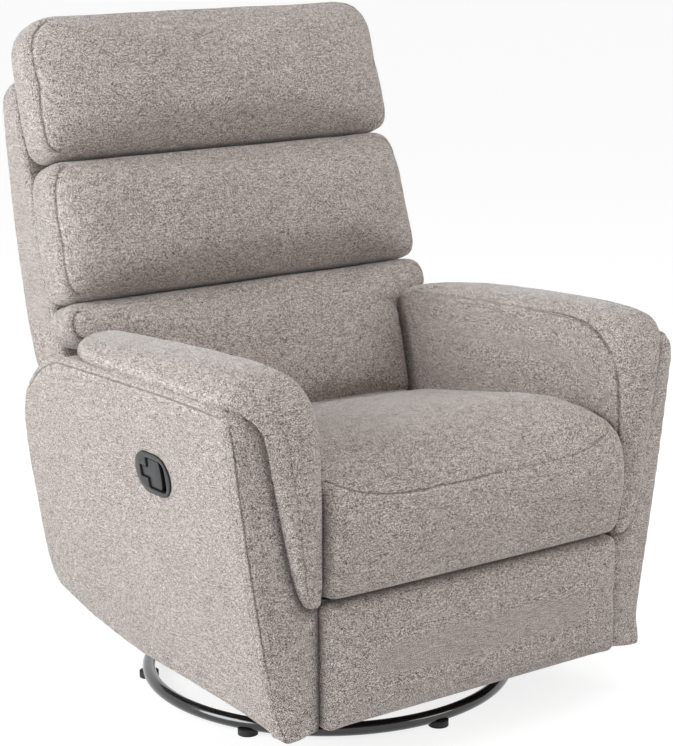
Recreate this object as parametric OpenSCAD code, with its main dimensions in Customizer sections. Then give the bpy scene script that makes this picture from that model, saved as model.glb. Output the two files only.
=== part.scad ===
// Swivel rocker recliner with a pull-handle release, three back cushions and a fold-out footrest.
// Frame: the swivel axis is Z, the floor is z = 0, the sitter faces -Y and +X is the sitter's left.

/* [Base] */
// Radius of the base ring, to the middle of its tube
ring_r = 280; // [250:5:310]
// Diameter of the ring's tube
ring_tube_d = 20; // [16:1:24]
// Height of the glide pads under the ring
glide_h = 6; // [4:1:8]
// Diameter of a glide pad
glide_d = 30; // [24:1:36]
// Number of glide pads
glide_count = 6; // [4:1:8]
// Width of the base's cross bars
spoke_w = 40; // [30:1:60]
// Thickness of the cross bars and of the hub plate
spoke_t = 6; // [4:1:8]
// Diameter of the hub plate
hub_d = 150; // [130:5:180]

/* [Swivel bearing] */
// Diameter of the swivel bolt
bolt_d = 16; // [12:1:20]
// Diameter of the bearing races
race_d = 136; // [124:2:160]
// Thickness of one bearing race
race_t = 7; // [5:0.5:9]
// Diameter of a bearing ball
ball_d = 8; // [6:0.5:10]
// Diameter of the circle the balls run on
ball_ring_d = 104; // [90:2:112]
// Number of bearing balls
ball_count = 14; // [8:1:18]

/* [Rocker] */
// Thickness of the turning frame's plate
plate_t = 6; // [4:1:8]
// Height of the rocking rails
rail_h = 32; // [24:1:36]
// Width of a rocking rail
rail_w = 30; // [26:1:40]
// Length of a rocking rail
rail_len = 230; // [200:5:260]
// Distance between the middles of the two rails
rail_span = 320; // [300:5:340]
// Least wood left round the tubes' holes in each rocking cam
cam_wall = 6.1; // [4:0.1:9]
// Height of a rocker cam
cam_h = 49; // [44:1:56]
// Thickness of a rocker cam
cam_w = 26; // [18:1:26]
// Distance between the front and rear cross tubes
tube_span = 124; // [110:2:136]
// Diameter of the cross tubes
tube_d = 20; // [16:1:22]
// Outer diameter of a rocker spring
coil_d = 44; // [36:1:48]
// Distance between the left and right rocker springs
coil_span = 230; // [200:5:240]

/* [Arms] */
// Clear width between the two arms
seat_gap = 530; // [500:5:560]
// Thickness of an arm at its foot, where its outer face meets the floor
arm_foot_w = 50.1; // [43:1:65]
// Outward lean of the arms' outer faces, in degrees
arm_flare = 8.72; // [6:0.5:11]
// Distance of the arms' side panels' front edge ahead of the swivel axis
arm_front = 338; // [325:1:350]
// Length of the arms' side panels
arm_len = 602; // [585:1:620]
// Height of the side panels' lower edge above the floor
arm_z0 = 86; // [80:1:95]
// Height of the side panels' top edge above the floor
arm_z1 = 530; // [515:1:545]
// Thickness of the outer side panel
outer_t = 14; // [10:1:18]
// Thickness of the padded inner side panel
inner_t = 26; // [20:1:28]
// Thickness of the arm's wooden board
web_t = 18; // [14:1:18]
// Thickness of the arm's front panel
front_t = 16; // [12:1:20]
// Thickness of the arm pad at its crown
pad_h = 32; // [24:1:38]
// Thickness of the arm pad on the front face
pad_front_h = 13; // [9:1:16]
// Height above the floor where the arm pad's front tip ends
pad_tip_z = 263; // [230:1:300]

/* [Seat] */
// Gap between each arm and the seat cushion or the footrest
side_gap = 4; // [3:0.5:8]
// Distance of the seat cushion's front ahead of the swivel axis
seat_front = 391; // [380:1:400]
// Distance of the seat cushion's rear behind the swivel axis
seat_rear = 139; // [130:1:141]
// Height of the seat cushion at its front crown, at the sides
seat_top = 450; // [435:1:465]
// Height of the seat frame's lower face
seat_frame_z = 278; // [276:1:282]
// Thickness of the seat frame's rails
seat_rail_t = 24; // [20:1:26]
// Length of the seat's slide when the back reclines
slide_len = 44; // [30:1:48]
// Rise of the seat's slide towards the front, in degrees
slide_rise = 6; // [3:0.5:8]

/* [Back] */
// Backward lean of the back at rest, in degrees
lean = 17.8; // [14:0.2:22]
// Height of the lower crease between the back cushions
crease_z = 595; // [580:1:610]
// Distance of that crease behind the swivel axis
crease_y = 198; // [190:1:206]
// Height of the lower back cushion, along the back
lumbar_h = 205; // [198:1:207]
// Height of the middle back cushion, along the back
mid_h = 215; // [190:1:230]
// Height of the head cushion, along the back
head_h = 224; // [190:1:240]
// Half-width of the back cushions at their widest
back_hw = 334; // [310:1:345]
// Depth from the back cushions' front seam to the back frame
back_depth = 68; // [60:1:72]
// Half-width of the outer back shell
shell_hw = 322; // [300:1:340]
// Distance of the back's pivot behind the swivel axis
pivot_y = 200; // [194:1:204]
// Height of the back's pivot above the floor
pivot_z = 300; // [294:1:304]

/* [Footrest] */
// Length of a footrest link between its end pivots
link_len = 168; // [160:1:170]
// Width of a link's eyes
link_w = 20; // [18:1:22]
// Thickness of a link
link_t = 4; // [3:0.5:4]
// Distance of the footrest's first pivot ahead of the swivel axis
foot_y = 222; // [214:1:226]
// Height of the footrest's first pivot above the floor
foot_z = 246; // [243:1:247]
// Distance of the footrest's face ahead of the swivel axis when it is folded
foot_front = 362; // [356:1:366]
// Height of the folded footrest's top edge above the floor
foot_top = 257; // [250:1:258]
// Height of the folded footrest's lower edge above the floor
foot_bottom = 84; // [78:1:95]

/* [Handle] */
// Length of the release handle's bezel
bezel_len = 90; // [80:1:100]
// Height of the bezel
bezel_h = 62; // [54:1:68]
// Distance of the bezel's middle ahead of the swivel axis
bezel_y = 123; // [100:1:150]
// Height of the bezel's middle, measured up the panel
bezel_z = 418; // [380:1:440]
// Length of the paddle from its hinge
paddle_len = 42; // [36:1:44]

/* [Hidden] */
$fn = 48;

// Shared clearances: a running fit, a gap between moving faces, a gap between soft faces, a cut's overrun
fit = 0.05;
run_gap = 1;
soft_gap = 0.3;
over = 2;

// Heights of the base and the swivel bearing, from the floor up
tube_r = ring_tube_d / 2;
ring_z = glide_h + tube_r;
hub_z = ring_z - spoke_t / 2;
race_z = hub_z + spoke_t;
ball_z = race_z + race_t + ball_d / 4;
upper_z = ball_z + ball_d / 4;
frame_z = upper_z + race_t;
rail_z = frame_z + plate_t;
rail_top = rail_z + rail_h;

// The rocking edge: its gap over the rails, the hinge that stands for the rolling and the cross tubes
rock_gap = 0.9;
rock_lift = 40;
cam_z = rail_top + rock_gap;
rock_z = rail_top + rock_lift;
cross_r = tube_d / 2;
cross_wall = 2;
cross_rise = 0.67 * cam_h;
cross_z = cam_z + cross_rise;
cam_grip = cross_r + fit + cam_wall;
cam_r = (pow(tube_span / 2, 2) + pow(cross_rise, 2) - pow(cam_grip, 2)) / (2 * (cross_rise - cam_grip));
coil_seat_t = 6;
coil_z0 = rail_z + coil_seat_t;
coil_z1 = cross_z - cross_r - coil_seat_t;
coil_wall = 5;
clamp_lip = 4;
clamp_r = coil_d / 2 + clamp_lip;

// Sideways places of the side plates, seat plates, link layers and brackets
inner_x = seat_gap / 2;
arm_foot_x = inner_x + arm_foot_w;
seat_w = seat_gap - 2 * side_gap;
foot_w = seat_gap - 2 * side_gap;
side_t = 4;
side_x = inner_x - side_t;
seat_plate_t = 4;
head_gap = 9;
seat_plate_x = side_x - head_gap - seat_plate_t;
layer1_x = seat_plate_x - run_gap - link_t;
layer2_x = layer1_x - run_gap - link_t;
layer3_x = layer2_x - run_gap - link_t;

// Fastening and pivot sizes
pin_r = 5;
foot_pin_r = 6;
guide_r = 6;
back_pin_r = 7;
torque_r = 9;
torque_wall = 2;
bolt_r = 4;
head_t = 4;
eye_inset = 3;
pin_proud = 2;
pivot_lap = 22;
guide_lap = 16;

// The arm in its own lean: panel outlines are shares of the panel's length and height
arm_h = arm_z1 - arm_z0;
arm_outline_shares = [[0, 0], [0.10, 0.025], [0.23, 0.042], [0.40, 0.03], [0.57, 0.02], [0.68, 0.035],
    [0.82, 0.07], [0.92, 0.105], [0.965, 0.13], [0.99, 0.175], [1, 0.245], [1, 0.36], [0.998, 0.58],
    [0.993, 0.69], [0.983, 0.765], [0.957, 0.84], [0.93, 0.885], [0.885, 0.935], [0.85, 0.96],
    [0.78, 1], [0, 1]];
inner_shares = [[0, 0.02], [0.57, 0.03], [0.82, 0.08], [0.95, 0.14], [0.985, 0.245], [0.985, 0.58],
    [0.965, 0.76], [0.93, 0.87], [0.85, 0.95], [0.78, 0.998], [0.27, 1.032], [0.04, 1.032],
    [0, 0.985]];
arm_face_y = -arm_front - front_t;
pad_drop = 22;
pad_base = arm_z1 + pad_drop;
pad_edge = 0.4;
pad_inset = 3;
pad_round = 40;
pad_rear_y = 163;
pad_slope_len = 363;

// The seat's slide and its guide pins
guide_y = [-150, 90];
guide_z = 240;
slide_dir = [-cos(slide_rise), sin(slide_rise)];
slot_gap = 0.3;

// The back's own frame: v runs up the back, w runs towards the sitter
wire = 4;
post_w = 24;
frame_w1 = -back_depth - wire - 2 * soft_gap;
frame_w0 = frame_w1 - post_w;
shell_reach = 147;
shell_v0 = -92;
shell_v1 = mid_h + shell_reach;
wing_v = -56;
wing_step = 18;
tail_v = -300;
tail_hw = 240;
shell_t = 12;
bracket_w = 40;
bracket_inset = 8;
bracket_back = 16;
bracket_v = tail_v + bracket_inset;
post_inset = 34;
post_v0 = tail_v + post_inset;
rail_v = 40;

// Footrest links: directions in the side plane, measured from straight ahead, when folded
rear_link_angle = -64;
cross_link_angle = 96;
front_share = 0.82;
function ahead(a) = [-cos(a), sin(a)];
foot_p = [-foot_y, foot_z];
foot_a = foot_p + link_len * ahead(rear_link_angle);
foot_m = foot_p + link_len / 2 * ahead(rear_link_angle);
foot_b0 = foot_m - link_len / 2 * ahead(cross_link_angle);
foot_b1 = foot_m + link_len / 2 * ahead(cross_link_angle);
foot_x = foot_a + link_len / 2 * ahead(cross_link_angle);
foot_e = foot_a + front_share * link_len * ahead(cross_link_angle);
board_t = 14;
foot_thick = 40;
board_y = -foot_front + foot_thick;
board_side_inset = 12;
board_end_inset = 8;
flange_t = 4;
flange_w = 30;
flange_low = 30;
flange_high = 10;
crank_l = 28;
crank_x = layer3_x - 2 * link_t;
hook_p = foot_p - [0, crank_l];
tab_y = -70;
tab_p = [tab_y, guide_z];
pull_r = 7;
pull_x = crank_x - link_t - run_gap / 2;

// The handle's own sizes
bezel_lip = 3;
bezel_wall = 4;
bezel_deep = 22;
latch_len = 36;
latch_h = 20;
latch_t = 5;
pocket_deep = 16;
paddle_t = 5;
handle_pin_r = 2;

// Helpers
module side(x0, t) translate([x0, 0, 0]) rotate([90, 0, 90]) linear_extrude(t) children();
module pin_x(p, r, x0, x1) translate([x0, p[0], p[1]]) rotate([0, 90, 0]) cylinder(r = r, h = x1 - x0);
module both() {
    children();
    mirror([1, 0, 0]) children();
}
module on_panel() translate([arm_foot_x, 0, 0]) rotate([0, arm_flare, 0]) children();
module on_back() translate([0, crease_y, crease_z]) rotate([-lean, 0, 0]) children();
module stadium(l, h) {
    for (s = [-1, 1]) translate([s * (l - h) / 2, 0]) circle(d = h);
    square([l - h, h], center = true);
}
module bar(p, q) {
    d = q - p;
    for (c = [p, q]) translate(c) circle(d = link_w);
    translate(p) rotate(atan2(d[1], d[0])) translate([0, eye_inset / 2 - link_w / 2])
        square([norm(d), link_w - eye_inset]);
}

function spow(v, p) = sign(v) * pow(abs(v), p);
function middle(ring) = [for (k = [0:2]) let (c = [for (p = ring) p[k]])
    (c * [for (p = ring) 1]) / len(ring)];

// A closed skin through rings of points, each ring listed the same way round
module skin(rings) {
    n = len(rings[0]);
    m = len(rings);
    polyhedron(
        points = concat([for (r = rings) each r], [middle(rings[0]), middle(rings[m - 1])]),
        faces = concat(
            [for (i = [0:m - 2], j = [0:n - 1]) [i * n + j, i * n + (j + 1) % n, (i + 1) * n + (j + 1) % n]],
            [for (i = [0:m - 2], j = [0:n - 1]) [i * n + j, (i + 1) * n + (j + 1) % n, (i + 1) * n + j]],
            [for (j = [0:n - 1]) [m * n, (j + 1) % n, j]],
            [for (j = [0:n - 1]) [m * n + 1, (m - 1) * n + j, (m - 1) * n + (j + 1) % n]]));
}

// A back cushion in the back's own frame, from v0 to v1, with table rows [v, half-width]
cushion_row_count = 18;
cushion_step_count = 12;
side_w = 6;
crown = 20;
end_width_share = 0.965;

// One level of a padded form: a flat rear at y = 0, boxed sides and a crowned front
function padded_ring(hw, deep, rise, level) = [for (k = [-cushion_step_count:cushion_step_count])
    let (u = sin(90 * k / cushion_step_count))
    [hw * u, -deep * pow(1 - pow(abs(u), 12), 0.3) - rise * (1 - u * u), level(u)]];

module back_cushion(v0, v1, table, low_share, high_share) {
    half = (v1 - v0) / 2;
    mid = (v0 + v1) / 2;
    rows = [for (i = [0:cushion_row_count]) mid - half * cos(180 * i / cushion_row_count)];
    translate([0, back_depth, 0]) skin([for (v = rows) let (
            s = sqrt(1 - pow(abs(v - mid) / half, 5)),
            hw = lookup(v, table) * (end_width_share + (1 - end_width_share) * s),
            e = v < mid ? low_share : high_share,
            f = e + (1 - e) * s)
        padded_ring(hw, (side_w + back_depth) * f, crown * s, function (u) v)]);
}

// Base
module ring_shape(r) rotate_extrude($fn = 96) translate([ring_r, ring_z]) circle(r = r);

module base_ring() color("black") ring_shape(tube_r);

module base_cross_bars() color("black") difference() {
    translate([0, 0, hub_z]) linear_extrude(spoke_t) difference() {
        union() {
            circle(d = hub_d);
            for (a = [45, 135]) rotate(a) square([2 * ring_r, spoke_w], center = true);
        }
        circle(d = bolt_d + 2 * fit);
    }
    ring_shape(tube_r);
}

module glide_pads() color("dimgray") difference() {
    for (i = [1:glide_count]) rotate(360 * (i - 0.5) / glide_count) translate([ring_r, 0, 0])
        cylinder(d = glide_d, h = glide_h + tube_r / 3);
    ring_shape(tube_r);
}

// Swivel bearing
module ball_groove() rotate_extrude() translate([ball_ring_d / 2, ball_z]) circle(d = ball_d + 2 * fit);

module lower_bearing_race() color("silver") difference() {
    translate([0, 0, race_z]) cylinder(d = race_d, h = race_t);
    translate([0, 0, race_z - over]) cylinder(d = bolt_d + 2 * fit, h = race_t + 2 * over);
    ball_groove();
}

module bearing_balls() color("gainsboro")
    for (i = [0:ball_count - 1]) rotate(i * 360 / ball_count) translate([ball_ring_d / 2, 0, ball_z])
        sphere(d = ball_d);

module swivel_bolt() color("silver") {
    translate([0, 0, hub_z - head_t]) cylinder(d = 1.7 * bolt_d, h = head_t);
    translate([0, 0, hub_z - head_t / 2]) cylinder(d = bolt_d, h = rail_z - hub_z + head_t);
    translate([0, 0, rail_z + fit]) cylinder(d = 1.7 * bolt_d, h = 1.5 * head_t, $fn = 6);
}

module upper_bearing_race() color("silver") difference() {
    translate([0, 0, upper_z]) cylinder(d = race_d, h = race_t);
    translate([0, 0, upper_z - over]) cylinder(d = bolt_d + 2 * fit, h = race_t + 2 * over);
    ball_groove();
}

module turning_frame() color("dimgray") {
    translate([0, 0, frame_z]) linear_extrude(plate_t) difference() {
        union() {
            for (s = [-1, 1]) translate([0, s * tube_span / 2])
                square([rail_span + rail_w, 2 * clamp_r], center = true);
            square([race_d, tube_span], center = true);
        }
        circle(d = bolt_d + 2 * fit);
    }
    for (s = [-1, 1]) translate([s * rail_span / 2 - rail_w / 2, -rail_len / 2, rail_z])
        cube([rail_w, rail_len, rail_h]);
}

// Rocker springs between clamp discs
module at_coils() for (sx = [-1, 1], sy = [-1, 1])
    translate([sx * coil_span / 2, sy * tube_span / 2, 0]) children();

module lower_spring_clamps() color("gray")
    at_coils() translate([0, 0, rail_z]) cylinder(r = clamp_r, h = coil_seat_t);

module rocker_springs() color("dimgray") at_coils() difference() {
    translate([0, 0, coil_z0]) cylinder(d = coil_d, h = coil_z1 - coil_z0);
    translate([0, 0, coil_z0 - over]) cylinder(d = coil_d - 2 * coil_wall, h = coil_z1 - coil_z0 + 2 * over);
}

module upper_spring_clamps() color("gray") difference() {
    at_coils() {
        translate([0, 0, coil_z1]) cylinder(r = clamp_r, h = coil_seat_t);
        translate([-cross_r, -1.4 * cross_r, coil_z1 + coil_seat_t / 2])
            cube([2 * cross_r, 2.8 * cross_r, cross_z - coil_z1 - coil_seat_t / 2]);
    }
    for (s = [-1, 1]) pin_x([s * tube_span / 2, cross_z], cross_r + fit, -side_x, side_x);
}

module rocker_cam() color("burlywood") side(rail_span / 2 - cam_w / 2, cam_w) difference() {
    intersection() {
        translate([0, cam_z + cam_r]) circle(r = cam_r, $fn = 96);
        translate([-cam_r, cam_z]) square([2 * cam_r, cam_h]);
    }
    for (s = [-1, 1]) translate([s * tube_span / 2, cross_z]) circle(r = cross_r + fit);
}
module rocker_cam_left() rocker_cam();
module rocker_cam_right() mirror([1, 0, 0]) rocker_cam();

module cross_tubes() color("dimgray") for (s = [-1, 1]) difference() {
    pin_x([s * tube_span / 2, cross_z], cross_r, -side_x, side_x);
    pin_x([s * tube_span / 2, cross_z], cross_r - cross_wall, -inner_x, inner_x);
}

// Side plates on the arms, with slots for the seat's guide pins
bolt_places = [[-guide_z * 0.9, guide_z * 0.66], [-guide_z * 0.9, guide_z * 0.98],
    [guide_z * 0.72, guide_z * 0.62],
    [guide_z * 0.72, guide_z * 0.98]];
plate_shares = [[-1, 0.6], [-0.4, 0.385], [0.4, 0.385], [0.87, 0.53], [0.87, 1.08], [-1, 1.08]];

module guide_slot(y) {
    p = [y, guide_z];
    r = guide_r + slot_gap;
    for (q = [p, p + slide_len * slide_dir]) translate(q) circle(r = r);
    translate(p) rotate(180 - slide_rise) translate([0, -r]) square([slide_len, 2 * r]);
}

cable_y = -88;
cable_z = 205;
cable_r = 2.5;
module side_plate() color("silver") side(side_x, side_t) difference() {
    polygon([for (p = plate_shares) p * guide_z]);
    for (y = guide_y) guide_slot(y);
    for (p = bolt_places) translate(p) circle(r = bolt_r + fit);
    translate([cable_y, cable_z]) circle(r = cable_r + fit);
}
module side_plate_left() side_plate();
module side_plate_right() mirror([1, 0, 0]) side_plate();

module arm_bolts() color("silver") both() for (p = bolt_places) {
    pin_x(p, bolt_r, side_x - fit, inner_x + inner_t + web_t + head_t);
    pin_x(p, 1.7 * bolt_r, side_x - head_t, side_x);
    pin_x(p, 1.7 * bolt_r, inner_x + inner_t + web_t, inner_x + inner_t + web_t + head_t / 2);
}

// Arms
module arm_outline(shares) polygon([for (p = shares) [p[0] * arm_len - arm_front, arm_z0 + p[1] * arm_h]]);
module bolt_holes() for (p = bolt_places) translate(p) circle(r = bolt_r + fit);
module cable_hole() translate([cable_y, cable_z]) circle(r = 3 * cable_r);

board_shares = [[0.01, 0.055], [0.57, 0.055], [0.82, 0.1], [0.95, 0.17], [0.975, 0.27], [0.975, 0.58],
    [0.95, 0.76], [0.91, 0.86], [0.84, 0.93], [0.76, 0.98], [0.01, 0.98]];
rail_low_share = 0.055;
rail_high_share = 0.93;
rail_len_share = 0.56;
module arm_board() color("burlywood") {
    side(inner_x + inner_t, web_t) difference() {
        arm_outline(board_shares);
        bolt_holes();
        cable_hole();
    }
    intersection() {
        for (z = [rail_low_share, rail_high_share])
            translate([inner_x + inner_t + web_t / 2, board_shares[0][0] * arm_len - arm_front,
                arm_z0 + z * arm_h])
                cube([seat_gap, rail_len_share * arm_len, web_t]);
        on_panel() translate([-outer_t - seat_gap, -arm_len, 0]) cube([seat_gap, 2 * arm_len, 2 * arm_z1]);
    }
}
module arm_board_left() arm_board();
module arm_board_right() mirror([1, 0, 0]) arm_board();

module arm_inner_panel() color("rosybrown") side(inner_x, inner_t) difference() {
    arm_outline(inner_shares);
    bolt_holes();
    cable_hole();
}
module arm_inner_panel_left() arm_inner_panel();
module arm_inner_panel_right() mirror([1, 0, 0]) arm_inner_panel();

module arm_outer_panel() color("rosybrown") intersection() {
    on_panel() side(-outer_t, outer_t) scale([1, 1 / cos(arm_flare)]) arm_outline(arm_outline_shares);
    translate([0, -arm_len, 0]) cube([2 * seat_gap, 2 * arm_len, arm_z1]);
}
module arm_outer_panel_left() arm_outer_panel();
module arm_outer_panel_right() mirror([1, 0, 0]) color("rosybrown") difference() {
    arm_outer_panel();
    on_panel() translate([0, -bezel_y, bezel_z]) side(-outer_t - over, outer_t + 2 * over)
        stadium(bezel_len - 2 * bezel_wall + 2 * soft_gap, bezel_h - 2 * bezel_wall + 2 * soft_gap);
}

module arm_front_panel() color("rosybrown") intersection() {
    side(inner_x, seat_gap) translate([arm_face_y, arm_z1]) polygon([[front_t, -arm_h],
        [front_t, -front_t / 16], [0.5 * front_t, -0.5 * front_t], [0.2 * front_t, -1.1 * front_t],
        [0, -1.8 * front_t], [0, -arm_h]]);
    on_panel() translate([-seat_gap, -arm_len, 0]) cube([seat_gap, 2 * arm_len, 2 * arm_z1]);
}
module arm_front_panel_left() arm_front_panel();
module arm_front_panel_right() mirror([1, 0, 0]) arm_front_panel();

// The arm pad runs forward along the top, rounds over the front and tapers down to its tip.
// Rows: place along the path as [y, z], direction of its thickness in degrees above straight ahead,
// inner edge, outer edge, thickness and how far the outer edge lies lower.
pad_in = inner_x + pad_inset;
pad_out = arm_foot_x + tan(arm_flare) * arm_z1 - pad_inset;
pad_step_count = 6;
front_len = pad_base - pad_round - pad_tip_z;
top_len = pad_rear_y + arm_front + front_t - pad_round;
function pad_row(y, z, up, x0, x1, h, drop) =
    [for (j = [0:10]) let (u = j / 10, k = h * spow(sin(180 * u), 0.5) + pad_edge - drop * u)
        [x0 + (x1 - x0) * (0.5 - 0.5 * cos(180 * u)), y - cos(up) * k, z + sin(up) * k],
     for (u = [0.98, 0.66, 0.33, 0.02]) [x0 + (x1 - x0) * u, y + cos(up) * drop * u, z - sin(up) * drop * u]];
pad_front_width_shares = [[0, 0.66], [0.22, 0.58], [0.5, 0.47], [0.75, 0.38], [0.92, 0.27], [1, 0.13]];
module arm_pad() color("rosybrown") skin([
    each [for (i = [0:8]) let (
            t = i / 8,
            f = pow(sin(90 * min(1, t * 4 + 0.12)), 0.5),
            drop = pad_drop * min(1, t * top_len / pad_slope_len))
        pad_row(pad_rear_y - t * top_len, arm_z1 + drop + soft_gap, 90, pad_in, pad_out,
            pad_h * f * (0.8 + 0.2 * t), drop)],
    each [for (i = [1:pad_step_count]) let (t = i / pad_step_count, a = 90 - 90 * t, r = pad_round + soft_gap)
        pad_row(arm_face_y + pad_round - r * cos(a), pad_base - pad_round + r * sin(a), a, pad_in,
            pad_in + (pad_out - pad_in) * (1 - 0.34 * t * t), pad_h + (pad_front_h - pad_h) * t,
            pad_drop * pow(1 - t, 2))],
    each [for (i = [1:8]) let (t = i / 8, w = lookup(t, pad_front_width_shares))
        pad_row(arm_face_y - soft_gap, pad_base - pad_round - t * front_len, 0, pad_in,
            pad_in + (pad_out - pad_in) * w, pad_front_h * (1 - 0.6 * pow(t, 6)), 0)]]);
module arm_pad_left() arm_pad();
module arm_pad_right() mirror([1, 0, 0]) arm_pad();

module rear_cover() color("rosybrown")
    translate([-inner_x, 0.945 * arm_len - arm_front, arm_z0 + 0.12 * arm_h])
    cube([seat_gap, shell_t, 0.2 * arm_h]);

// Release handle, on the sitter's right
module at_handle() mirror([1, 0, 0]) on_panel() translate([0, -bezel_y, bezel_z]) children();
hinge_y = paddle_len / 2 + run_gap;
module handle_bezel() color("dimgray") at_handle() difference() {
    union() {
        side(0, bezel_lip) stadium(bezel_len, bezel_h);
        side(-bezel_deep, bezel_deep + bezel_lip / 2)
            stadium(bezel_len - 2 * bezel_wall, bezel_h - 2 * bezel_wall);
    }
    side(-pocket_deep, pocket_deep + 2 * bezel_lip)
        stadium(bezel_len - 4 * bezel_wall, bezel_h - 4 * bezel_wall);
    translate([-paddle_t / 2, hinge_y, -bezel_h / 2 + bezel_wall])
        cylinder(r = handle_pin_r + fit, h = bezel_h - 2 * bezel_wall);
}

pin_half = bezel_h / 2 - 1.5 * bezel_wall;
module handle_pin() color("silver") at_handle() translate([-paddle_t / 2, hinge_y, -pin_half])
    cylinder(r = handle_pin_r, h = 2 * pin_half);

module handle_paddle() color("darkslategray") at_handle() difference() {
    union() {
        side(-paddle_t, paddle_t) polygon([[hinge_y, -0.14 * bezel_h], [hinge_y, 0.14 * bezel_h],
            [hinge_y - 0.45 * paddle_len, 0.14 * bezel_h], [hinge_y - 0.5 * paddle_len, 0.27 * bezel_h],
            [hinge_y - paddle_len, 0.27 * bezel_h], [hinge_y - paddle_len, -0.27 * bezel_h],
            [hinge_y - 0.5 * paddle_len, -0.27 * bezel_h], [hinge_y - 0.45 * paddle_len, -0.14 * bezel_h]]);
        translate([-paddle_t / 2, hinge_y, -0.14 * bezel_h])
            cylinder(r = 2 * handle_pin_r, h = 0.28 * bezel_h);
    }
    translate([-paddle_t / 2, hinge_y, -bezel_h]) cylinder(r = handle_pin_r + fit, h = 2 * bezel_h);
}

// The release cable runs from the handle down inside the arm to the latch on the side plate
cable_route = [[-356.5, -122, 416.5], [-350, -122, 417.5], [-341, -121, 414], [-334, -116, 390],
    [-329, -108, 345],
    [-325, -100, 300], [-323, -94, 262], [-321, -90, 232], [-317, -88, 213], [-308, -88, 205.5],
    [-298, -88, 205],
    [-280, -88, 205], [-261, -88, 205]];
cable_side_count = 8;
function smooth(p, i, t) = let (a = p[max(i - 1, 0)], b = p[i], c = p[i + 1], d = p[min(i + 2, len(p) - 1)])
    b + t * (c - a) / 2 + t * t * (a - 2.5 * b + 2 * c - d / 2)
    + t * t * t * (-a / 2 + 1.5 * b - 1.5 * c + d / 2);
cable_path = [for (i = [0:len(cable_route) - 2]) each
    [smooth(cable_route, i, 0), smooth(cable_route, i, 0.5)],
    cable_route[len(cable_route) - 1]];
function unit(v) = v / norm(v);
module release_cable() color("black") skin([for (i = [0:len(cable_path) - 1]) let (
        p = cable_path,
        d = i == len(p) - 1 ? [1, 0, 0] : unit(p[i + 1] - p[max(i - 1, 0)]),
        e = unit(cross(d, [0, 1, 0])),
        g = cross(d, e))
    [for (j = [0:cable_side_count - 1]) let (a = 360 * j / cable_side_count)
        p[i] + cable_r * (cos(a) * e + sin(a) * g)]]);

module release_latch() color("silver") mirror([1, 0, 0]) {
    side(side_x - latch_t, latch_t) translate([cable_y, cable_z]) stadium(latch_len, latch_h);
}

// Seat
plate_y0 = -foot_y - pivot_lap;
plate_bevel = 10;
pivot_shares = [[-0.9, 1], [0.55, 1], [1, 0.36], [0.9, -0.73], [0, -1.55]];
seat_plate_top = seat_frame_z + seat_rail_t;
module seat_plate() color("silver") {
    difference() {
        side(seat_plate_x, seat_plate_t) polygon(concat(
            [[plate_y0, foot_z - pivot_lap], [plate_y0, seat_plate_top - plate_bevel],
                [plate_y0 + plate_bevel, seat_plate_top], [seat_rear, seat_plate_top]],
            [for (p = pivot_shares) [pivot_y, pivot_z] + p * pivot_lap],
            [[guide_y[1] + guide_lap, guide_z - guide_lap], [guide_y[0] - guide_lap, guide_z - guide_lap]]));
        pin_x(foot_p, foot_pin_r + fit, seat_plate_x - over, side_x);
        pin_x([pivot_y, pivot_z], back_pin_r + fit, seat_plate_x - over, side_x);
    }
    for (y = guide_y) pin_x([y, guide_z], guide_r, seat_plate_x + seat_plate_t / 2, inner_x - fit);
    pin_x(tab_p, bolt_r, pull_x - run_gap, seat_plate_x + seat_plate_t / 2);
}
module seat_plate_left() seat_plate();
module seat_plate_right() mirror([1, 0, 0]) seat_plate();

rail_deep = 30;
front_inset = 61;
rear_inset = 28;
frame_y0 = -seat_front + front_inset;
frame_y1 = seat_rear - rear_inset;
module seat_frame() color("burlywood")
    translate([0, 0, seat_frame_z]) linear_extrude(seat_rail_t) difference() {
    translate([-seat_plate_x, frame_y0]) square([2 * seat_plate_x, frame_y1 - frame_y0]);
    translate([-seat_plate_x + rail_deep, frame_y0 + rail_deep])
        square([2 * (seat_plate_x - rail_deep), frame_y1 - frame_y0 - 2 * rail_deep]);
}

// Zigzag springs, as flat strips of wire
zig_count = 14;
zig_w = 22;
module zigzag(len) {
    ys = [for (i = [0:zig_count]) i * len / zig_count];
    xs = [for (i = [0:zig_count]) i == 0 || i == zig_count ? 0 : (i % 2 == 0 ? zig_w : -zig_w)];
    polygon(concat([for (i = [0:zig_count]) [xs[i] - wire, ys[i]]],
        [for (i = [zig_count:-1:0]) [xs[i] + wire, ys[i]]]));
}
module seat_springs() color("dimgray") for (i = [-2:2])
    translate([i * (seat_plate_x - rail_deep) / 2.6, frame_y0 + rail_deep, seat_frame_z + seat_rail_t - wire])
        linear_extrude(wire) zigzag(frame_y1 - frame_y0 - 2 * rail_deep);

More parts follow.
